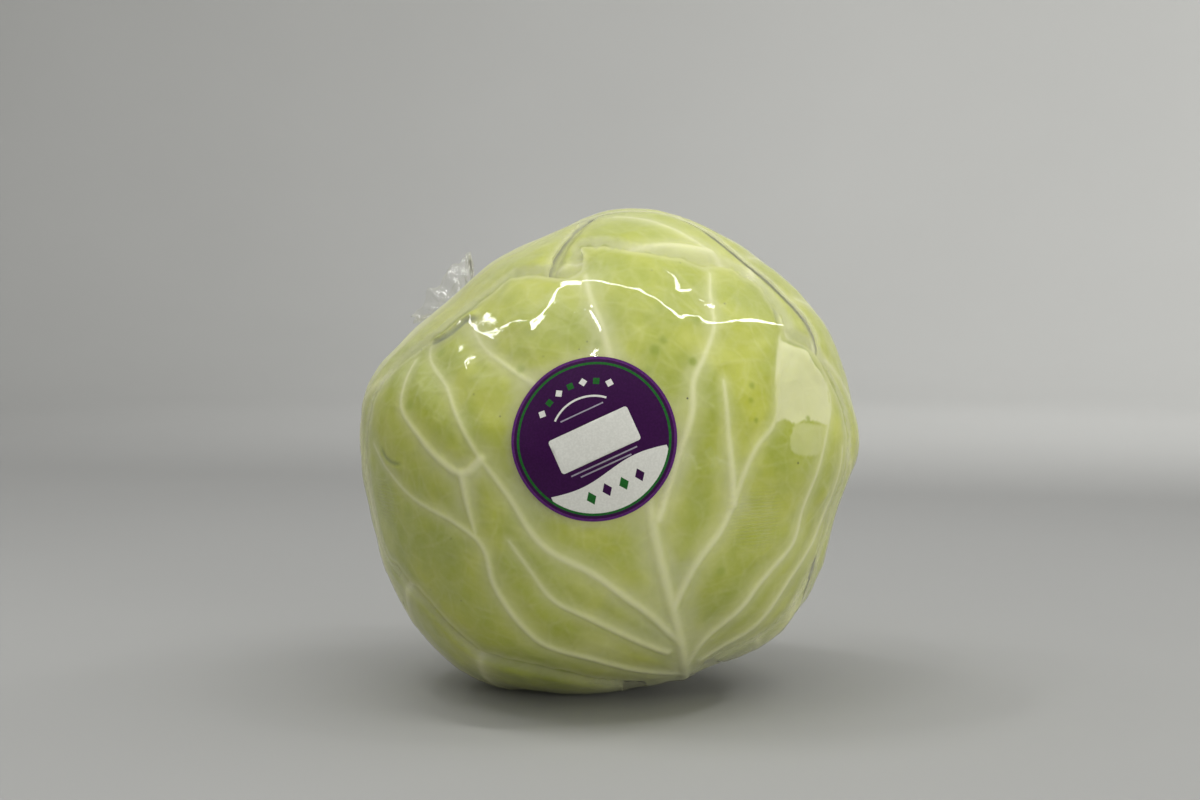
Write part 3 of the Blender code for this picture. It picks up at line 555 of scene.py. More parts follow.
class Leaf:
    """One wrapper leaf: its frame, edge, ribs and folds, in degrees."""

    def __init__(self, index):
        self.index = index
        self.axes = leaf_frame(index)
        self.add_marks(index == 0)
        if index == 0:
            outline = FRONT_OUTLINE
            midrib = FRONT_MIDRIB
            laterals = FRONT_LATERALS
        else:
            shape = OTHER_LEAVES[index - 1]
            outline = other_outline(*shape)
            midrib, laterals = other_ribs(shape[0], shape[2])
        self.edge = smooth_route(outline, COARSE_STEP, closed=True)
        fine = smooth_route(outline, FINE_STEP if index == 0 else OTHER_STEP, closed=True)
        jitter = np.column_stack([fine, np.full(len(fine), 7.0 * index)])
        crinkle = np.column_stack([ripple(jitter, 7.0, 3 + index), ripple(jitter, 5.0, 13 + index)])
        fade = np.clip((fine[:, 1] - OTHER_BASE) / 15, 0, 1)
        self.outline = fine + EDGE_CRINKLE * crinkle * fade[:, None]
        self.ribs = [(smooth_route(midrib, 2.0), MIDRIB_WIDTH, MIDRIB_STRENGTH)]
        for lateral in laterals:
            route = self.trimmed(smooth_route(lateral, 2.0))
            if len(route) > 2:
                self.ribs.append((route, LATERAL_WIDTH, 1.0))
        self.minor = self.minor_ribs(random.Random(101 + index))

    def add_marks(self, front):
        """The front leaf's folds, bulges, spots and worn places. The other leaves have none."""
        def of_front(marks):
            return marks if front else []

        degree = math.radians(1) * DEPTH_RADIUS
        pixel = CAMERA_DISTANCE / FOCAL_PIXELS
        self.creases = [smooth_route(route, 1.5) for route in of_front([FRONT_CREASE])]
        self.bulges = [(self.at([(x, y)])[0], reach * pixel / degree, rise * MM)
                       for x, y, reach, rise in of_front(FRONT_BULGES)]
        self.lips = [(self.route_at(route), height * MM, left, right, dark)
                     for route, height, left, right, dark in of_front(FRONT_LIPS)]
        self.spots = [(self.at([(x, y)])[0], reach * MM / degree, tone)
                      for x, y, reach, tone in of_front(FRONT_SPOTS)]
        self.pale_lines = [(self.route_at(route), width, tone)
                           for route, width, tone in of_front(FRONT_PALE_LINES)]
        self.pale_spots = [(self.at([(x, y)])[0], reach * pixel / degree, tone)
                           for x, y, reach, tone in of_front(FRONT_PALE_SPOTS)]
        self.patches = [(self.route_at(route, closed=True), tone)
                        for route, tone in of_front(FRONT_PALE_PATCHES)]
        self.specks = [(self.at([(x, y)])[0], reach * MM / degree)
                       for x, y, reach in of_front(FRONT_SPECKS)]

    def at(self, pixels):
        """The leaf's own degrees of the places that are seen at the pixels."""
        return degrees_of(self.axes, seen(pixels))

    def route_at(self, pixels, closed=False):
        return smooth_route(self.at(pixels), MARK_STEP, closed)

    def trimmed(self, route):
        """The start of the route, as far as it stays well inside the leaf's edge."""
        keep = 0
        within = inside(route, self.edge) & (self.edge_distance(route) > RIB_INSET)
        while keep < len(route) and (within[keep] or keep == 0):
            keep += 1
        return route[:keep]

    def edge_distance(self, uv, outline=None):
        edge = self.edge if outline is None else outline
        return nearest_on(uv, np.vstack([edge, edge[:1]]))[0]

    def droop(self, uv):
        return MARGIN_DROOP * ease(1 - self.edge_distance(uv, self.outline) / DROOP_WIDTH)

    def outer(self, uv, d, lamina, pressed, height):
        """Radius of the outer side, where the relief is flattened as far as the leaf is pressed."""
        relief = height * (1 - (1 - COVERED_RELIEF) * pressed)
        return np.minimum(lamina + relief - self.droop(uv), floor_radius(d, LEAF_FLOOR))

    def minor_ribs(self, rng):
        """Short fine veins that leave the ribs to both sides and end before they meet the next one."""
        routes = []
        for route, _, _ in self.ribs:
            length = np.concatenate([[0], np.cumsum(np.linalg.norm(np.diff(route, axis=0), axis=1))])
            for side in (1, -1):
                where = rng.uniform(2, MINOR_SPACING)
                while where < length[-1] - 2:
                    i = int(np.searchsorted(length, where)) - 1
                    heading = unit(route[i + 1] - route[i])
                    turn = math.radians(side * rng.uniform(*MINOR_TURN))
                    bend = math.radians(-side * rng.uniform(*MINOR_BEND))
                    p = route[i].copy()
                    vein = [p.copy()]
                    for _ in range(rng.randint(5, 9)):
                        c = math.cos(turn)
                        s = math.sin(turn)
                        p = p + MINOR_STEP * np.array([c * heading[0] - s * heading[1],
                                                       s * heading[0] + c * heading[1]])
                        turn += bend + math.radians(rng.uniform(-MINOR_SWAY, MINOR_SWAY))
                        vein.append(p.copy())
                    routes.append(self.trimmed(np.array(vein)))
                    where += MINOR_SPACING * rng.uniform(0.7, 1.4)
        return [r for r in routes if len(r) > 2]

    def cover(self, d):
        """1 where the leaf lies over the direction d or close by, fading to 0 away from its edge."""
        uv = degrees_of(self.axes, d)
        away = np.where(inside(uv, self.edge), 0.0, self.edge_distance(uv))
        return ease(1 - (away - COVER_MARGIN) / COVER_FADE)

    def surface(self, uv, d, fine=True):
        """Height over the lowest lamina, and the tones of veins, painted shade in hollows, spots and
        specks, 0 to 1.
        """
        points = d * DEPTH_RADIUS
        ribs = np.zeros(len(uv))
        vein = np.zeros(len(uv))
        closest = np.full(len(uv), 1e9)
        for route, width, strength in self.ribs:
            away, along, _ = nearest_on(uv, route)
            half = width * (1 - RIB_NARROWING * along)
            size = strength * (1 - RIB_LOWERING * along)
            shoulder = SHOULDER_SHARE * ease(1 - away / RIB_SHOULDER)
            crest = (1 - SHOULDER_SHARE) * ease(1 - away / (CREST_SPREAD * half))
            ribs += (size * CREST * (shoulder + crest)) ** 4
            soft = np.exp(-(away / (VEIN_HALO * half)) ** 2)
            pale = VEIN_SOFT * soft + (1 - VEIN_SOFT) * ease(VEIN_EDGE * (1 - away / half))
            vein = np.maximum(vein, (VEIN_THIN + (1 - VEIN_THIN) * size / strength) * pale)
            closest = np.minimum(closest, away - half)
        for route in self.creases:
            away, along, _ = nearest_on(uv, route)
            ridge = np.clip(1 - (np.hypot(away, CREASE_TOP) - CREASE_TOP) / CREASE_REACH, 0, 1)
            ribs += (CREASE_HEIGHT * ridge) ** 4
        swell = SWELL_MEAN + SWELL_VARIES * ripple(points, BULGE_WAVE, 51 + self.index)
        for centre, reach, rise in self.bulges:
            swell += rise / LAMINA_RISE * np.exp(-((uv - centre) ** 2).sum(axis=1) / reach ** 2)
        rise = LAMINA_FOOT + (1 - LAMINA_FOOT) * ease(closest / LAMINA_REACH)
        lamina = LAMINA_RISE * np.clip(swell, 0, SWELL_MOST) * rise
        height = (ribs + lamina ** 4) ** 0.25
        dark = np.zeros(len(uv))
        for route, rise, left, right, depth in self.lips:
            away, along, side = nearest_on(uv, route)
            broad = np.where(side > 0, left, right)
            ends = tapered(along)
            steep = (side > 0) == (left < right)
            height += rise * ends * ease(1 - away / broad)
            # Painted shade: a dark tone laid in the hollow beside the fold's steep side
            painted_shade = np.exp(-((away - PAINTED_SHADE_OFFSET * min(left, right)) / PAINTED_SHADE_WIDTH) ** 2)
            dark = np.maximum(dark, depth * ends * painted_shade * steep)
        height += PUCKER * ripple(points, PUCKER_WAVE, 71 + self.index) * ease(closest / PUCKER_START)
        spot = np.zeros(len(uv))
        speck = np.zeros(len(uv))
        if fine:
            for route in self.minor:
                away, along, _ = nearest_on(uv, route)
                line = ease(1 - away / MINOR_WIDTH) * (1 - MINOR_FADING * along)
                height += MINOR_HEIGHT * line * ease(closest + 1)
                vein = np.maximum(vein, MINOR_TONE * line)
            for route, width, tone in self.pale_lines:
                away, along, _ = nearest_on(uv, route)
                vein = np.maximum(vein, tone * ease(1 - away / width) * tapered(along))
            for centre, reach, tone in self.pale_spots:
                vein = np.maximum(vein, tone * round_mark(uv, centre, reach, PALE_SPOT_EDGE))
            for edge, tone in self.patches:
                away = self.edge_distance(uv, edge) * np.where(inside(uv, edge), 1, -1)
                vein = np.maximum(vein, tone * ease(0.5 + away / PATCH_EDGE))
            for centre, reach, tone in self.spots:
                spot = np.maximum(spot, tone * round_mark(uv, centre, reach, SPOT_EDGE))
            for centre, reach in self.specks:
                speck = np.maximum(speck, round_mark(uv, centre, reach, SPECK_EDGE))
        return height, vein, dark, spot, speck


def layers(leaves, d):
    """For each leaf and then for what lies under them all: depth, and how far it is pressed down."""
    covers = [leaf.cover(d) for leaf in leaves]
    result = []
    for index in range(len(leaves) + 1):
        depth = np.full(len(d), LEAF_DEPTH)
        pressed = np.zeros(len(d))
        for above in range(index):
            depth = np.maximum(depth, covers[above] * (result[above][0] + LEAF_SPACING))
            pressed = np.maximum(pressed, np.minimum(2 * covers[above], 1))
        result.append((depth, pressed))
    return result


def triangulated(points, edges, merge):
    """Triangles between flat points, with the edges kept."""
    verts, _, faces, *_ = delaunay_2d_cdt([Vector(p) for p in points], edges, [], 0, merge)
    return np.array([(p.x, p.y) for p in verts]), np.array([f for f in faces if len(f) == 3])


def two_sided(outer, inner, faces):
    """A closed mesh with the outer points, the inner points and a wall along the open edges."""
    count = len(outer)
    sides = np.vstack([faces[:, [0, 1]], faces[:, [1, 2]], faces[:, [2, 0]]])
    known = set(map(tuple, sides))
    body = [faces, count + faces[:, ::-1]]
    rim = np.array([(a, b) for a, b in map(tuple, sides) if (b, a) not in known])
    body.append(np.column_stack([rim[:, 1], rim[:, 0], count + rim[:, 0]]))
    body.append(np.column_stack([rim[:, 1], count + rim[:, 0], count + rim[:, 1]]))
    return np.vstack([outer, inner]), np.vstack(body)


def add_piece(name, points, faces, materials, tones, node):
    """A smooth mesh object that rides on the frame, with values at its points for its material."""
    mesh = bpy.data.meshes.new(name)
    mesh.from_pydata(points.tolist(), [], faces.tolist())
    mesh.validate()
    for key, values in tones.items():
        mesh.attributes.new(key, "FLOAT", "POINT").data.foreach_set("value", values.astype(np.float32))
    bm = bmesh.new()
    bm.from_mesh(mesh)
    bmesh.ops.delete(bm, geom=[v for v in bm.verts if not v.link_faces], context="VERTS")
    bmesh.ops.recalc_face_normals(bm, faces=bm.faces)
    bm.to_mesh(mesh)
    bm.free()
    mesh.shade_smooth()
    for material in materials:
        mesh.materials.append(material)
    piece = bpy.data.objects.new(name, mesh)
    bpy.context.scene.collection.objects.link(piece)
    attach(piece, "root")
    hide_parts(node)
    return piece


def add_node(tree, kind, inputs=None, **settings):
    """A shader node with its settings, its inputs set to values or linked to other nodes' outputs."""
    made = tree.nodes.new(kind)
    for key, value in settings.items():
        setattr(made, key, value)
    for key, value in (inputs or {}).items():
        if isinstance(value, bpy.types.NodeSocket):
            tree.links.new(value, made.inputs[key])
        else:
            made.inputs[key].default_value = value
    return made


def new_material(name):
    material = bpy.data.materials.new(name)
    material.use_nodes = True
    tree = material.node_tree
    shader = tree.nodes["Principled BSDF"]
    place_of = add_node(tree, "ShaderNodeTexCoord").outputs["Object"]
    return material, tree, shader, place_of


def noise(tree, where, scale, detail=3.0, distortion=0.0):
    made = add_node(tree, "ShaderNodeTexNoise", {"Vector": where, "Scale": scale, "Detail": detail,
                                                 "Distortion": distortion})
    return made.outputs["Fac"]


def attribute(tree, name):
    return add_node(tree, "ShaderNodeAttribute", attribute_name=name).outputs["Fac"]


def math_node(tree, operation, a, b=0.5, c=0.5, clamp=False):
    made = add_node(tree, "ShaderNodeMath", {0: a, 1: b, 2: c}, operation=operation, use_clamp=clamp)
    return made.outputs[0]


def ranged(tree, value, low, high, to_low=0.0, to_high=1.0):
    made = add_node(tree, "ShaderNodeMapRange", {"Value": value, "From Min": low, "From Max": high,
                                                 "To Min": to_low, "To Max": to_high})
    made.interpolation_type = "SMOOTHSTEP"
    return made.outputs["Result"]


def mixed(tree, share, a, b):
    """The colour a turned into the colour b by share."""
    made = add_node(tree, "ShaderNodeMix", {"Factor": share}, data_type="RGBA")
    for socket, colour in ((made.inputs[6], a), (made.inputs[7], b)):
        if isinstance(colour, bpy.types.NodeSocket):
            tree.links.new(colour, socket)
        else:
            socket.default_value = (*colour, 1.0)
    return made.outputs[2]


def tinted(tree, colour, tints):
    """The colour with each tint mixed in by the mesh's attribute of that name times a share."""
    for name, share, tint in tints:
        colour = mixed(tree, math_node(tree, "MULTIPLY", attribute(tree, name), share), colour, tint)
    return colour


def cell_lines(tree, where, scale, width):
    """1 on the lines between irregular cells, fading to 0 at their width."""
    cells = add_node(tree, "ShaderNodeTexVoronoi", {"Vector": where, "Scale": scale, "Randomness": 1.0},
                     feature="DISTANCE_TO_EDGE").outputs["Distance"]
    return ranged(tree, cells, 0.0, width, 1.0, 0.0)


def bumped(tree, heights, distance):
    """The normal of a surface with these height textures, each with its strength."""
    normal = None
    for height, strength in heights:
        inputs = {"Height": height, "Strength": strength, "Distance": distance}
        if normal is not None:
            inputs["Normal"] = normal
        normal = add_node(tree, "ShaderNodeBump", inputs).outputs["Normal"]
    return normal


def leaf_material(name, dark, light, vein, roughness):
    """Waxy leaf: mottled green, pale veins with a fine net between them, thin pale edge, soft spots,
    painted shade beside folds.
    """
    material, tree, shader, where = new_material(name)
    tone = ranged(tree, noise(tree, where, 38, 4, 0.4), 0.3, 0.72)
    colour = mixed(tree, tone, dark, light)
    mottle = ranged(tree, noise(tree, where, 160, 4), 0.35, 0.75, 0.0, 0.10)
    colour = mixed(tree, mottle, colour, vein)
    net_line = cell_lines(tree, where, 105, 0.11)
    fine_line = cell_lines(tree, where, 330, 0.16)
    netted = math_node(tree, "MULTIPLY_ADD", fine_line, 0.03, math_node(tree, "MULTIPLY", net_line, 0.06))
    colour = mixed(tree, netted, colour, vein)
    # The "dark" attribute is painted shade in the hollows beside folds
    colour = tinted(tree, colour, [("vein", 0.9, vein), ("base", 0.75, BASE_COLOUR), ("margin", 0.35, vein),
                                   ("spot", 1.0, SPOT_COLOUR), ("dark", 1.0, PAINTED_SHADE_COLOUR),
                                   ("speck", 1.0, SPECK_COLOUR)])
    tree.links.new(colour, shader.inputs["Base Color"])
    rough = ranged(tree, noise(tree, where, 150, 3), 0.3, 0.7, roughness - 0.06, roughness + 0.1)
    tree.links.new(rough, shader.inputs["Roughness"])
    shader.inputs["Specular IOR Level"].default_value = 0.4
    shader.inputs["Subsurface Weight"].default_value = 0.18
    shader.inputs["Subsurface Radius"].default_value = (0.9, 1.0, 0.35)
    shader.inputs["Subsurface Scale"].default_value = 0.003
    grain = noise(tree, where, 420, 4)
    normal = bumped(tree, [(net_line, 0.15), (fine_line, 0.08), (grain, 0.12)], 0.15 * MM)
    tree.links.new(normal, shader.inputs["Normal"])
    return material


def stem_material():
    """Cut stem: pale flesh with fibre ends, a ring of darker bundles and a drying rim."""
    material, tree, shader, where = new_material("stem_flesh")
    flesh = ranged(tree, noise(tree, where, 90, 5), 0.3, 0.7)
    colour = mixed(tree, flesh, (0.58, 0.60, 0.36), (0.76, 0.76, 0.56))
    cells = add_node(tree, "ShaderNodeTexVoronoi", {"Vector": where, "Scale": 900}).outputs["Distance"]
    colour = mixed(tree, ranged(tree, cells, 0.1, 0.5, 0.35, 0.0), colour, (0.42, 0.42, 0.2))
    colour = tinted(tree, colour, [("bundle", 0.6, (0.45, 0.47, 0.22)), ("rim", 0.7, (0.33, 0.24, 0.11))])
    tree.links.new(colour, shader.inputs["Base Color"])
    shader.inputs["Roughness"].default_value = 0.62
    shader.inputs["Subsurface Weight"].default_value = 0.15
    shader.inputs["Subsurface Radius"].default_value = (1.0, 0.9, 0.5)
    shader.inputs["Subsurface Scale"].default_value = 0.003
    normal = bumped(tree, [(cells, 0.4), (noise(tree, where, 300, 4), 0.3)], 0.2 * MM)
    tree.links.new(normal, shader.inputs["Normal"])
    return material


def film_material():
    """Clear stretch film: sharp gloss, clear where it clings and milky where it stands off."""
    material, tree, shader, where = new_material("clear_film")
    tree.nodes.remove(shader)
    output = tree.nodes["Material Output"]
    facing = add_node(tree, "ShaderNodeLayerWeight", {"Blend": 0.5}).outputs["Facing"]
    milk = math_node(tree, "MULTIPLY", attribute(tree, "haze"),
                     ranged(tree, noise(tree, where, 60, 3), 0.25, 0.8, 0.75, 1.15))
    milk = math_node(tree, "MULTIPLY_ADD", milk, FILM_MILK, FILM_MILK_LEAST)
    wave = {"Vector": where, "Scale": 260, "Distortion": 3.0, "Detail": 2.0, "Detail Scale": 0.6}
    lines = add_node(tree, "ShaderNodeTexWave", wave, bands_direction="Z").outputs["Fac"]
    stretched = math_node(tree, "MULTIPLY", lines, attribute(tree, "stretch"))
    milk = math_node(tree, "MULTIPLY_ADD", stretched, FILM_MILK_LINES, milk)
    grazing = math_node(tree, "POWER", facing, 3.0)
    milk = math_node(tree, "MULTIPLY_ADD", grazing, FILM_MILK_EDGE, milk, clamp=True)
    creep = noise(tree, where, 140, 2, 0.6)
    normal = bumped(tree, [(creep, 0.025), (stretched, 0.5)], 0.5 * MM)
    clear = add_node(tree, "ShaderNodeBsdfTransparent", {"Color": (0.985, 0.985, 0.98, 1.0)})
    veil = add_node(tree, "ShaderNodeBsdfDiffuse", {"Color": (0.76, 0.76, 0.50, 1.0), "Normal": normal})
    gloss = add_node(tree, "ShaderNodeBsdfGlossy", {"Color": (1.0, 1.0, 1.0, 1.0), "Roughness": 0.06,
                                                    "Normal": normal})
    hazy = add_node(tree, "ShaderNodeMixShader", {"Fac": milk, 1: clear.outputs[0], 2: veil.outputs[0]})
    steep = math_node(tree, "POWER", facing, 5.0)
    mirror = math_node(tree, "MULTIPLY_ADD", steep, FILM_MIRROR_EDGE, FILM_MIRROR)
    glossy = add_node(tree, "ShaderNodeMixShader", {"Fac": mirror, 1: hazy.outputs[0], 2: gloss.outputs[0]})
    behind = add_node(tree, "ShaderNodeNewGeometry").outputs["Backfacing"]
    through = add_node(tree, "ShaderNodeBsdfTransparent", {"Color": (1.0, 1.0, 1.0, 1.0)})
    sides = {"Fac": behind, 1: glossy.outputs[0], 2: through.outputs[0]}
    both = add_node(tree, "ShaderNodeMixShader", sides)
    tree.links.new(both.outputs[0], output.inputs["Surface"])
    return material


def label_material(name, colour, worn, roughness=0.36):
    """Printed plastic with a faint grain and a slightly uneven gloss."""
    material, tree, shader, where = new_material(name)
    grain = ranged(tree, noise(tree, where, 1400, 2), 0.35, 0.7)
    tree.links.new(mixed(tree, grain, colour, worn), shader.inputs["Base Color"])
    rough = ranged(tree, noise(tree, where, 90, 3), 0.3, 0.7, roughness - 0.05, roughness + 0.08)
    tree.links.new(rough, shader.inputs["Roughness"])
    shader.inputs["Specular IOR Level"].default_value = 0.16
    normal = bumped(tree, [(noise(tree, where, 70, 2), 0.2), (noise(tree, where, 1100, 2), 0.02)], 0.3 * MM)
    tree.links.new(normal, shader.inputs["Normal"])
    return material


def flat_grid(low, high, step):
    """Rows of points with every second row shifted by half a step."""
    rows = []
    for row, v in enumerate(np.arange(low[1], high[1], 0.87 * step)):
        u = np.arange(low[0] + row % 2 * step / 2, high[0], step)
        rows.append(np.column_stack([u, np.full(len(u), v)]))
    return np.vstack(rows)


def speck_points(leaf):
    """Rings of extra points, so that a small speck keeps its edge."""
    points = []
    for centre, reach in leaf.specks:
        points.append(centre)
        for share, count in ((0.5, 6), (1.0, 10), (1.5, 10)):
            angle = np.arange(count) / count * 2 * math.pi
            ring = centre + share * reach * np.column_stack([np.cos(angle), np.sin(angle)])
            points.extend(ring)
    return np.array(points).reshape(-1, 2)


def build_leaf(leaves, index, material):
    leaf = leaves[index]
    step = FINE_STEP if index == 0 else OTHER_STEP
    outline = leaf.outline
    grid = flat_grid(outline.min(axis=0), outline.max(axis=0), step)
    grid = grid[inside(grid, outline)]
    grid = grid[leaf.edge_distance(grid, outline) > EDGE_CLEAR * step]
    count = len(outline)
    edges = [(i, (i + 1) % count) for i in range(count)]
    uv, faces = triangulated(np.vstack([outline, grid, speck_points(leaf)]), edges, EDGE_MERGE * step)
    faces = faces[inside(uv[faces].mean(axis=1), outline)]
    d = directions(leaf.axes, uv)
    depth, pressed = layers(leaves, d)[index]
    height, vein, dark, spot, speck = leaf.surface(uv, d)
    margin = ease(1 - leaf.edge_distance(uv, outline) / MARGIN_WIDTH)
    lamina = base_radius(d) - depth
    outer = leaf.outer(uv, d, lamina, pressed, height)
    thick = LEAF_THICKNESS + (MARGIN_THICKNESS - LEAF_THICKNESS) * margin
    points, body = two_sided(place(d, outer), place(d, np.minimum(outer, lamina) - thick), faces)
    base = ease((BASE_TOP - uv[:, 1]) / BASE_FADE)
    # "dark" carries the painted shade in the hollows beside folds
    tones = {"vein": vein, "dark": dark, "spot": spot, "speck": speck, "margin": margin, "base": base}
    tones = {key: np.tile(values, 2) for key, values in tones.items()}
    name = f"leaf_{index + 1}"
    piece = add_piece(name + "_fine", points, body, [material], tones, name)
    piece.data.set_sharp_from_angle(angle=SHARP_ANGLE)
    return piece


def stem_frame():
    axis = unit(STEM_AXIS)
    side = unit(np.cross(axis, (0.0, 1.0, 0.0)))
    return axis, side, np.cross(axis, side)


def turned(rings, first, last):
    """Triangles through rings of equal count, closed by a point at each end."""
    count = len(rings[0])
    points = np.vstack(rings + [first[None, :], last[None, :]])
    start = len(rings) * count
    i = np.arange(count)
    j = (i + 1) % count
    faces = []
    for row in range(len(rings) - 1):
        a = row * count + i
        b = row * count + j
        faces.append(np.column_stack([a, b, b + count]))
        faces.append(np.column_stack([a, b + count, a + count]))
    faces.append(np.column_stack([np.full(count, start), j, i]))
    faces.append(np.column_stack([np.full(count, start + 1), start - count + i, start - count + j]))
    return points, np.vstack(faces)


def build_stem(material):
    """The cut stem with a bevelled rim and a slightly rough, sunken face."""
    axis, side, other = stem_frame()
    count = 120
    angle = np.arange(count) / count * 2 * math.pi
    lobed = 1 + STEM_LOBE_DEPTH * np.cos(STEM_LOBES * angle) + 0.006 * np.cos(17 * angle + 1)
    profile = [(STEM_INNER, 0.86), (STEM_INNER + 3 * MM, 0.93), (64 * MM, 0.96), (STEM_OUTER - 5 * MM, 1.0),
               (STEM_OUTER - 1.2 * MM, 1.0), (STEM_OUTER - 0.5 * MM, 0.985), (STEM_OUTER - 0.1 * MM, 0.95),
               (STEM_OUTER, 0.9)]
    for share in np.arange(0.85, 0.05, -0.08):
        profile.append((STEM_OUTER - 0.5 * MM * math.cos(share * math.pi / 2), share))
    rings = []
    bundle = []
    rim = []
    for height, share in profile:
        ring = np.outer(np.cos(angle), side) + np.outer(np.sin(angle), other)
        face = height >= STEM_OUTER - 0.6 * MM
        rough = 0.15 * MM * ripple(ring * share * STEM_RADIUS, 4 * MM, 5) if face else 0 * angle
        spread = ring * (STEM_RADIUS * share * lobed)[:, None]
        rings.append(HEAD_CENTRE + spread + np.outer(height + rough, axis))
        bundle.append(math.exp(-((share - 0.68) / 0.07) ** 2) * (0.5 + 0.5 * np.cos(28 * angle)))
        rim.append(np.full(count, math.exp(-((share - 0.97) / 0.05) ** 2) if face else 0.0))
    inner_end = HEAD_CENTRE + axis * STEM_INNER
    cut_face = HEAD_CENTRE + axis * (STEM_OUTER - 0.5 * MM)
    points, faces = turned(rings, inner_end, cut_face)
    ends = np.zeros(2)
    tones = {"bundle": np.concatenate(bundle + [ends]), "rim": np.concatenate(rim + [ends])}
    return add_piece("stem_fine", points, faces, [material], tones, "stem")


def build_heart(leaves, material):
    """The dense inner head, wound from leaves whose edges run up it in spirals, with the stem's socket."""
    axis, side, other = stem_frame()
    wraps = 4
    count = 240
    rows = 90
    angle = np.arange(count) / count * 2 * math.pi
    socket_radius = STEM_RADIUS * (1 + STEM_LOBE_DEPTH) + SOCKET_CLEARANCE
    socket_floor = STEM_INNER - SOCKET_CLEARANCE
    outwards = np.outer(np.cos(angle), side) + np.outer(np.sin(angle), other)
    socket = [HEAD_CENTRE + axis * h + socket_radius * outwards
              for h in (socket_floor, STEM_INNER + 12 * MM)]
    skin = []
    vein = []
    for polar in np.radians(np.linspace(16.5, 176, rows)):
        d = math.cos(polar) * axis + math.sin(polar) * outwards
        depth = layers(leaves, d)[-1][0]
        wave = 0.12 * np.sin(9 * polar + 3 * np.sin(3 * angle))
        turn = np.mod((angle / (2 * math.pi) - polar * 75 / 180 / 360 * 180 / math.pi) * wraps + wave, 1)
        drop = 1.6 * MM * np.minimum(turn / 0.94, (1 - turn) / 0.06) * math.sin(polar)
        skin.append(place(d, base_radius(d) - depth - HEART_DEPTH - drop))
        edge_line = ease(1 - np.minimum(turn, 1 - turn) / 0.03)
        vein.append(0.6 * ease(1 - np.abs(turn - 0.5) / 0.035) + 0.3 * edge_line)
    socket_end = HEAD_CENTRE + axis * socket_floor
    points, faces = turned(socket + skin, socket_end, np.mean(skin[-1], axis=0))
    vein = np.concatenate([np.zeros(2 * count)] + vein + [np.zeros(2)])
    return add_piece("heart_fine", points, faces, [material], {"vein": vein}, "heart")


def outermost(leaves, d):
    """Radius of what the film meets first in each direction: a leaf, the heart or the stem."""
    stack = layers(leaves, d)
    bare = base_radius(d)
    radius = bare - stack[-1][0] - HEART_DEPTH
    for leaf in reversed(leaves):
        uv = degrees_of(leaf.axes, d)
        within = inside(uv, leaf.outline)
        depth, pressed = stack[leaf.index]
        height = leaf.surface(uv, d, fine=False)[0]
        radius = np.where(within, leaf.outer(uv, d, bare - depth, pressed, height), radius)
    along = d @ unit(STEM_AXIS)
    cut = STEM_OUTER / np.maximum(along, 0.5)
    over_stem = along > math.cos(math.atan(STEM_RADIUS / STEM_OUTER))
    return np.where(over_stem, np.maximum(radius, cut), radius)


def band_about(route, offsets):
    """Close points along a route of directions, and at the offsets to both sides of it."""
    heading = np.gradient(route, axis=0)
    side = units(np.cross(route, heading))
    bands = [route]
    for offset in offsets:
        for sign in (1, -1):
            bands.append(units(route + sign * offset / DEPTH_RADIUS * side))
    return np.vstack(bands)


def thinned(points, spacing, taken):
    """The points that keep the spacing from those in taken and from each other."""
    cells = {}

    def cell(p):
        return tuple(np.floor(p / spacing).astype(int))

    def crowded(p):
        a, b, c = cell(p)
        for x in (a - 1, a, a + 1):
            for y in (b - 1, b, b + 1):
                for z in (c - 1, c, c + 1):
                    for q in cells.get((x, y, z), ()):
                        if (q[0] - p[0]) ** 2 + (q[1] - p[1]) ** 2 + (q[2] - p[2]) ** 2 < spacing ** 2:
                            return True
        return False

    for p in taken:
        cells.setdefault(cell(p), []).append(p)
    kept = []
    for p in points:
        if not crowded(p):
            kept.append(p)
            cells.setdefault(cell(p), []).append(p)
    return np.array(kept).reshape(-1, 3)


def neck_frame():
    axis = unit(NECK_AXIS)
    across = unit(np.cross(axis, (0.0, 1.0, 0.0)))
    return axis, across, np.cross(axis, across)


def pleats(angle):
    """Uneven folds round the neck, mostly between -1 and 1."""
    return 0.6 * np.cos(NECK_PLEATS * angle + 1.3 * np.sin(2 * angle)) \
        + 0.3 * np.cos((NECK_PLEATS - 5) * angle + 2) + 0.2 * np.cos((2 * NECK_PLEATS + 3) * angle)


def neck_ring(distance, half_width, half_depth, pleat):
    axis, across, along = neck_frame()
    angle = np.arange(NECK_SIDES) / NECK_SIDES * 2 * math.pi
    swell = 1 + pleat * pleats(angle)
    centre = HEAD_CENTRE + axis * distance * MM
    return centre + np.outer(half_width * MM * swell * np.cos(angle), across) \
        + np.outer(half_depth * MM * swell * np.sin(angle), along)


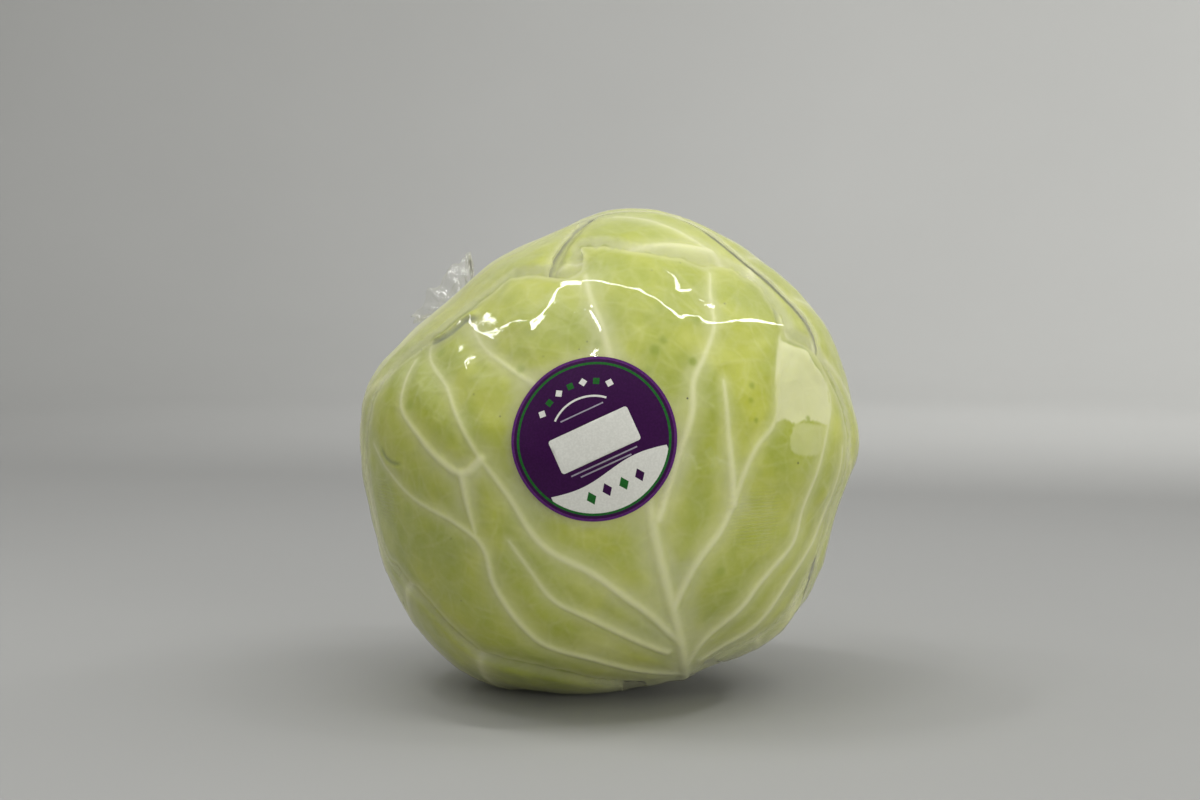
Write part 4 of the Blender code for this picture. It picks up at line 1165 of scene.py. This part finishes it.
def film_directions(ridges):
    """Directions of the film's points, closer at the front, along its ridges and round its neck."""
    axis, across, along = neck_frame()
    rim = units(neck_ring(*NECK_RINGS[0]) - HEAD_CENTRE)
    opening = math.acos(rim[0] @ axis)
    angle = np.arange(NECK_SIDES) / NECK_SIDES * 2 * math.pi
    sets = [rim]
    for row, polar in enumerate(np.linspace(opening, NECK_REACH, NECK_ROWS)[1:]):
        a = angle + (row % 2) * math.pi / NECK_SIDES
        ring = np.outer(np.cos(a), across) + np.outer(np.sin(a), along)
        sets.append(math.cos(polar) * axis + math.sin(polar) * ring)
    close = [band_about(route, RIDGE_BANDS) for route, _ in ridges]
    points = np.vstack(sets)
    points = np.vstack([points, thinned(np.vstack(close), RIDGE_GAP / DEPTH_RADIUS, points)])
    k = np.arange(FILM_POINTS) + 0.5
    height = 1 - 2 * k / FILM_POINTS
    turn = k * math.pi * (3 - math.sqrt(5))
    level = np.sqrt(1 - height ** 2)
    even = np.column_stack([level * np.cos(turn), height, level * np.sin(turn)])
    even = units(even + FILM_PULL * np.array([0.0, -1.0, 0.0]))
    even = even[even @ axis < math.cos(opening + 0.02)]
    return np.vstack([points, thinned(even, FILM_GAP / DEPTH_RADIUS, points)])


def relaxed(d, faces, lower, upper, passes):
    """Radii of a tight membrane on the directions d that stays between lower and upper."""
    first = []
    second = []
    weight = []
    for k in range(3):
        i, j, o = faces[:, k], faces[:, (k + 1) % 3], faces[:, (k + 2) % 3]
        a = d[i] - d[o]
        b = d[j] - d[o]
        area = np.linalg.norm(np.cross(a, b), axis=1)
        first.append(i)
        second.append(j)
        weight.append((a * b).sum(axis=1) / np.maximum(area, 1e-12))
    i = np.concatenate(first)
    j = np.concatenate(second)
    w = np.clip(np.concatenate(weight), 1e-3, 50)
    pull = w * (d[i] * d[j]).sum(axis=1)
    count = len(d)
    total = np.bincount(i, w, count) + np.bincount(j, w, count)
    radius = lower.copy()
    for _ in range(passes):
        mean = (np.bincount(i, pull * radius[j], count) + np.bincount(j, pull * radius[i], count)) / total
        radius = np.clip(mean, lower, upper)
    return radius


def build_film(leaves, material):
    """Film stretched over the head and the label's place, and gathered in an open, pleated neck."""
    axis, across, along = neck_frame()
    ridges = []
    for pixels, halves in FILM_RIDGES:
        route = units(smooth_route(seen(pixels), 0.5 * MM / DEPTH_RADIUS))
        ridges.append((route, np.array(halves) * MM))
    d = film_directions(ridges)
    lift = 1 - d @ axis
    flat = np.column_stack([d @ across / lift, d @ along / lift])
    edges = [(i, (i + 1) % NECK_SIDES) for i in range(NECK_SIDES)]
    flat, faces = triangulated(flat, edges, 1e-9)
    size = (flat ** 2).sum(axis=1)
    d = (np.outer(2 * flat[:, 0], across) + np.outer(2 * flat[:, 1], along)
         + np.outer(size - 1, axis)) / (size + 1)[:, None]

    under = outermost(leaves, d)
    lower = under + FILM_CLEARANCE
    for route, halves in ridges:
        near = np.flatnonzero(d @ route.mean(axis=0) > 0.3)
        away, share, _ = nearest_on(d[near] * DEPTH_RADIUS, route * DEPTH_RADIUS)
        half = np.interp(share, np.linspace(0, 1, len(halves)), halves)
        crest = ease(1 - (away - half) / RIDGE_SIDE)
        top = base_radius(d[near]) + RIDGE_LIFT
        lower[near] += np.maximum(top - lower[near], 0) * crest
    label = d @ unit(LABEL_AXIS) > math.cos(LABEL_RADIUS / DEPTH_RADIUS)
    lower[label] = np.maximum(lower[label], base_radius(d[label]) + LABEL_LIFT - LABEL_OVER_FILM)
    rim = neck_ring(*NECK_RINGS[0]) - HEAD_CENTRE
    lower[:NECK_SIDES] = np.linalg.norm(rim, axis=1)
    upper = floor_radius(d, FILM_FLOOR)
    radius = relaxed(d, faces, np.minimum(lower, upper), upper, FILM_PASSES)
    gap = (radius - under - FILM_CLEARANCE) / MM

    polar = np.arccos(np.clip(d @ axis, -1, 1))
    angle = np.arctan2(d @ along, d @ across)
    fade = np.clip(1 - polar / NECK_REACH, 0, 1) ** 1.5
    radius = radius + NECK_PLEAT_HEIGHT * fade * np.maximum(pleats(angle), 0)
    shell = place(d, radius)

    rings = [np.arange(NECK_SIDES)]
    tube = []
    fine = smooth_route(NECK_RINGS, 1.1)[1:]
    for number, ring in enumerate(fine):
        p = neck_ring(*ring)
        loose = np.clip((ring[0] - NECK_LOOSE[0]) / NECK_LOOSE[1], 0, 1)
        for axis_number in range(3):
            for height, wave, seed in NECK_RUFFLES:
                p[:, axis_number] += height * MM * loose * ripple(p, wave * MM, seed + axis_number)
        tube.append(p)
        rings.append(len(shell) + number * NECK_SIDES + np.arange(NECK_SIDES))
    skirt = []
    for a, b in zip(rings, rings[1:]):
        skirt.append(np.column_stack([a, np.roll(a, -1), np.roll(b, -1)]))
        skirt.append(np.column_stack([a, np.roll(b, -1), b]))
    points = np.vstack([shell] + tube)
    extra = len(points) - len(shell)
    haze = ease((gap - HAZE_START) / HAZE_SPAN)
    gathered = ease((NECK_HAZE_FAR - polar) / (NECK_HAZE_FAR - NECK_HAZE_NEAR))
    haze = np.maximum(haze, NECK_HAZE * gathered)
    stretch = np.zeros(len(d))
    for pixel, reach in FILM_STRETCHED:
        centre = seen([pixel])[0]
        away = np.linalg.norm(d - centre, axis=1)
        stretch = np.maximum(stretch, ease(1.4 - away / (reach / HEAD_PIXELS)))
    haze = np.concatenate([haze, np.full(extra, NECK_TUBE_HAZE)])
    stretch = np.concatenate([stretch, np.zeros(extra)])
    film = add_piece("film_sheet", points, np.vstack([faces] + skirt), [material],
                     {"haze": haze, "stretch": stretch}, "film")
    thickness = film.modifiers.new("thickness", "SOLIDIFY")
    thickness.thickness = FILM_THICKNESS
    thickness.offset = -1.0
    return film


def circle(radius, count, centre=(0.0, 0.0)):
    angle = np.arange(count) / count * 2 * math.pi
    return np.array(centre) + radius * np.column_stack([np.cos(angle), np.sin(angle)])


def turned_by(points, angle):
    c, s = math.cos(angle), math.sin(angle)
    return np.column_stack([c * points[:, 0] - s * points[:, 1], s * points[:, 0] + c * points[:, 1]])


def label_shapes():
    """Closed outlines on a label of radius 1, each with the number of its ink, later ones on top."""
    purple, green, white, pale = range(4)
    shapes = [(circle(0.965, 150), purple), (circle(0.93, 140), green), (circle(0.90, 140), purple)]
    x = np.linspace(-0.76, 0.76, 50)
    wave = -0.43 + 0.05 * np.sin(x / 0.76 * math.pi)
    shapes.append((np.vstack([np.column_stack([x, wave]),
                              np.column_stack([x, -np.sqrt(0.9 ** 2 - x ** 2)])[::-1]]), white))
    diamond = np.array([(0.0, 0.085), (0.062, 0.0), (0.0, -0.085), (-0.062, 0.0)])
    for k in range(4):
        centre = np.array([-0.32 + 0.213 * k, -0.64 + 0.015 * (k % 2)])
        shapes.append((centre + diamond, green if k % 2 == 0 else purple))
    panel = []
    for cx, cy, start in ((0.48, 0.155, 0), (-0.48, 0.155, 1), (-0.48, -0.21, 2), (0.48, -0.21, 3)):
        for turn in np.linspace(0, math.pi / 2, 5):
            angle = start * math.pi / 2 + turn
            panel.append((cx + 0.035 * math.cos(angle), cy + 0.035 * math.sin(angle)))
    shapes.append((np.array(panel), white))
    square = np.array([(0.038, 0.038), (-0.038, 0.038), (-0.038, -0.038), (0.038, -0.038)])
    for k in range(-3, 4):
        angle = math.pi / 2 - 0.235 * k
        place_of = 0.69 * np.array([math.cos(angle), math.sin(angle)])
        tile = turned_by(square, angle + math.pi / 4 * (k % 2))
        shapes.append((tile + place_of, white if k % 2 else green))
    angle = np.linspace(math.radians(48), math.radians(132), 26)
    arc = np.column_stack([np.cos(angle), np.sin(angle)])
    shapes.append((np.vstack([0.52 * arc, 0.495 * arc[::-1]]), white))
    for y, half in ((0.34, 0.28), (-0.305, 0.43), (-0.36, 0.33)):
        low, high = y - 0.009, y + 0.009
        shapes.append((np.array([(-half, low), (half, low), (half, high), (-half, high)]), pale))
    return shapes


def build_label(inks):
    """A round printed label that follows the head's curve on top of the film, with a plain design."""
    axis = unit(LABEL_AXIS)
    side = unit(np.cross((0.0, 0.0, 1.0), axis))
    axes = (axis, side, np.cross(axis, side))
    rim_ink = len(inks) - 1
    shapes = [(turned_by(outline, LABEL_TILT), ink) for outline, ink in label_shapes()]
    loops = [circle(1.0, 160)] + [outline for outline, _ in shapes]
    points = np.vstack(loops)
    edges = []
    start = 0
    for loop in loops:
        edges += [(start + i, start + (i + 1) % len(loop)) for i in range(len(loop))]
        start += len(loop)
    grid = flat_grid((-1, -1), (1, 1), 0.045)
    grid = grid[np.hypot(grid[:, 0], grid[:, 1]) < 0.97]
    flat, faces = triangulated(np.vstack([points, grid]), edges, 1e-5)
    middles = flat[faces].mean(axis=1)
    ink_of = np.full(len(faces), rim_ink)
    for outline, ink in shapes:
        ink_of[inside(middles, outline)] = ink
    d = directions(axes, np.degrees(flat * LABEL_RADIUS / DEPTH_RADIUS))
    back = base_radius(d) + LABEL_LIFT
    body_points, body = two_sided(place(d, back + LABEL_THICKNESS), place(d, back), faces)
    label = add_piece("label_disc", body_points, body, inks, {}, "label")
    numbers = np.full(len(label.data.polygons), rim_ink, dtype=np.int32)
    numbers[:len(faces)] = ink_of
    label.data.polygons.foreach_set("material_index", numbers)
    label.data.set_sharp_from_angle(angle=SHARP_ANGLE)
    return label


def build_stage():
    """A plain pale floor that curves up all round, far outside the object."""
    profile = [(0.0, 0.0), (0.4, 0.0), (0.9, 0.0), (FLOOR_FLAT, 0.0)]
    for a in np.linspace(0.1, math.pi / 2, 14):
        profile.append((FLOOR_FLAT + FLOOR_CURVE * math.sin(a), FLOOR_CURVE - FLOOR_CURVE * math.cos(a)))
    profile.append((FLOOR_FLAT + FLOOR_CURVE, FLOOR_TOP))
    bm = bmesh.new()
    spun = [bm.verts.new((x, 0.0, z)) for x, z in profile]
    edges = [bm.edges.new(pair) for pair in zip(spun, spun[1:])]
    bmesh.ops.spin(bm, geom=spun + edges, cent=(0, 0, 0), axis=(0, 0, 1), angle=2 * math.pi, steps=96,
                   use_merge=True)
    bmesh.ops.remove_doubles(bm, verts=bm.verts, dist=1e-5)
    bmesh.ops.recalc_face_normals(bm, faces=bm.faces)
    mesh = bpy.data.meshes.new("studio_floor")
    bm.to_mesh(mesh)
    bm.free()
    mesh.shade_smooth()
    material, tree, shader, where = new_material("pale_paper")
    colour = mixed(tree, noise(tree, where, 3, 3), (0.32, 0.32, 0.305), (0.35, 0.35, 0.335))
    tree.links.new(colour, shader.inputs["Base Color"])
    shader.inputs["Roughness"].default_value = 0.8
    tree.links.new(bumped(tree, [(noise(tree, where, 500, 3), 0.1)], 0.1 * MM), shader.inputs["Normal"])
    mesh.materials.append(material)
    floor = bpy.data.objects.new("studio_floor", mesh)
    bpy.context.scene.collection.objects.link(floor)


def add_area_light(name, where, target, width, height, watts, along=(1.0, 0.0, 0.0), mirrors=True):
    """A rectangular light that shines at a target, seen in gloss or not, its width along a direction."""
    data = bpy.data.lights.new(name, "AREA")
    data.shape = "RECTANGLE"
    data.size = width
    data.size_y = height
    data.energy = watts
    light = bpy.data.objects.new(name, data)
    light.location = where
    away = unit(np.asarray(where) - np.asarray(target))
    across = unit(along - away * (away @ np.asarray(along)))
    light.rotation_mode = "QUATERNION"
    light.rotation_quaternion = Matrix((across, np.cross(away, across), away)).transposed().to_quaternion()
    light.visible_camera = False
    light.visible_glossy = mirrors
    bpy.context.scene.collection.objects.link(light)


def mirrored(pixels, distance):
    """Places at the distance that the smooth head would mirror to the camera at the pixels."""
    eye = camera_axes()[0]
    d = seen(pixels)
    side = units(np.cross((0.0, 0.0, 1.0), d))
    other = np.cross(d, side)
    corners = [units(d + GLINT_REACH * step) for step in (side, -side, other, -other)]
    right, left, top, bottom = [place(c, base_radius(c)) for c in corners]
    normal = units(np.cross(right - left, top - bottom))
    here = place(d, base_radius(d))
    view = units(eye - here)
    return here + distance * (2 * (normal * view).sum(axis=1)[:, None] * normal - view)


def build_lights():
    """Narrow strips for the film's thin highlights, soft lights, and a dim room."""
    for number, (pixels, width) in enumerate(GLINTS):
        chain = mirrored(pixels, STRIP_DISTANCE)
        for part, (start, end) in enumerate(zip(chain, chain[1:])):
            length = np.linalg.norm(end - start)
            add_area_light(f"strip_{number + 1}_{part + 1}", (start + end) / 2, HEAD_CENTRE, length, width,
                           STRIP_RADIANCE * math.pi * width * length, end - start)
    for name, where, target, width, height, watts, mirrors in SOFTBOXES:
        add_area_light(name, where, target, width, height, watts, mirrors=mirrors)
    world = bpy.data.worlds.new("studio")
    world.use_nodes = True
    tree = world.node_tree
    where = add_node(tree, "ShaderNodeTexCoord").outputs["Generated"]
    height = add_node(tree, "ShaderNodeSeparateXYZ", {"Vector": where}).outputs["Z"]
    colour = mixed(tree, ranged(tree, height, 0.0, 0.8), WORLD_LOW, WORLD_HIGH)
    tree.links.new(colour, tree.nodes["Background"].inputs["Color"])
    bpy.context.scene.world = world


def build_camera():
    eye, _, _, forward = camera_axes()
    data = bpy.data.cameras.new("camera")
    data.lens = LENS
    data.sensor_width = SENSOR
    camera = bpy.data.objects.new("camera", data)
    camera.location = eye
    camera.rotation_mode = "QUATERNION"
    camera.rotation_quaternion = Vector(forward).to_track_quat("-Z", "Y")
    bpy.context.scene.collection.objects.link(camera)
    bpy.context.scene.camera = camera


build_camera()
build_lights()
build_stage()
bpy.context.scene.view_settings.view_transform = "Standard"

leaf_green = leaf_material("leaf_green", (0.35, 0.40, 0.030), (0.50, 0.53, 0.050), (0.80, 0.80, 0.47), 0.42)
inner_green = leaf_material("heart_green", (0.52, 0.58, 0.2), (0.64, 0.68, 0.32), (0.72, 0.74, 0.5), 0.42)
leaves = [Leaf(index) for index in range(LEAF_COUNT)]
for number in range(LEAF_COUNT):
    build_leaf(leaves, number, leaf_green)
build_stem(stem_material())
build_heart(leaves, inner_green)
film = build_film(leaves, film_material())
inks = [
    label_material("label_purple", (0.030, 0.003, 0.042), (0.038, 0.004, 0.052)),
    label_material("label_green", (0.010, 0.100, 0.014), (0.016, 0.125, 0.022)),
    label_material("label_white", (0.62, 0.62, 0.56), (0.68, 0.68, 0.62), 0.42),
    label_material("label_pale", (0.30, 0.27, 0.33), (0.36, 0.33, 0.38)),
    label_material("label_rim", (0.075, 0.012, 0.110), (0.10, 0.02, 0.14)),
]
build_label(inks)
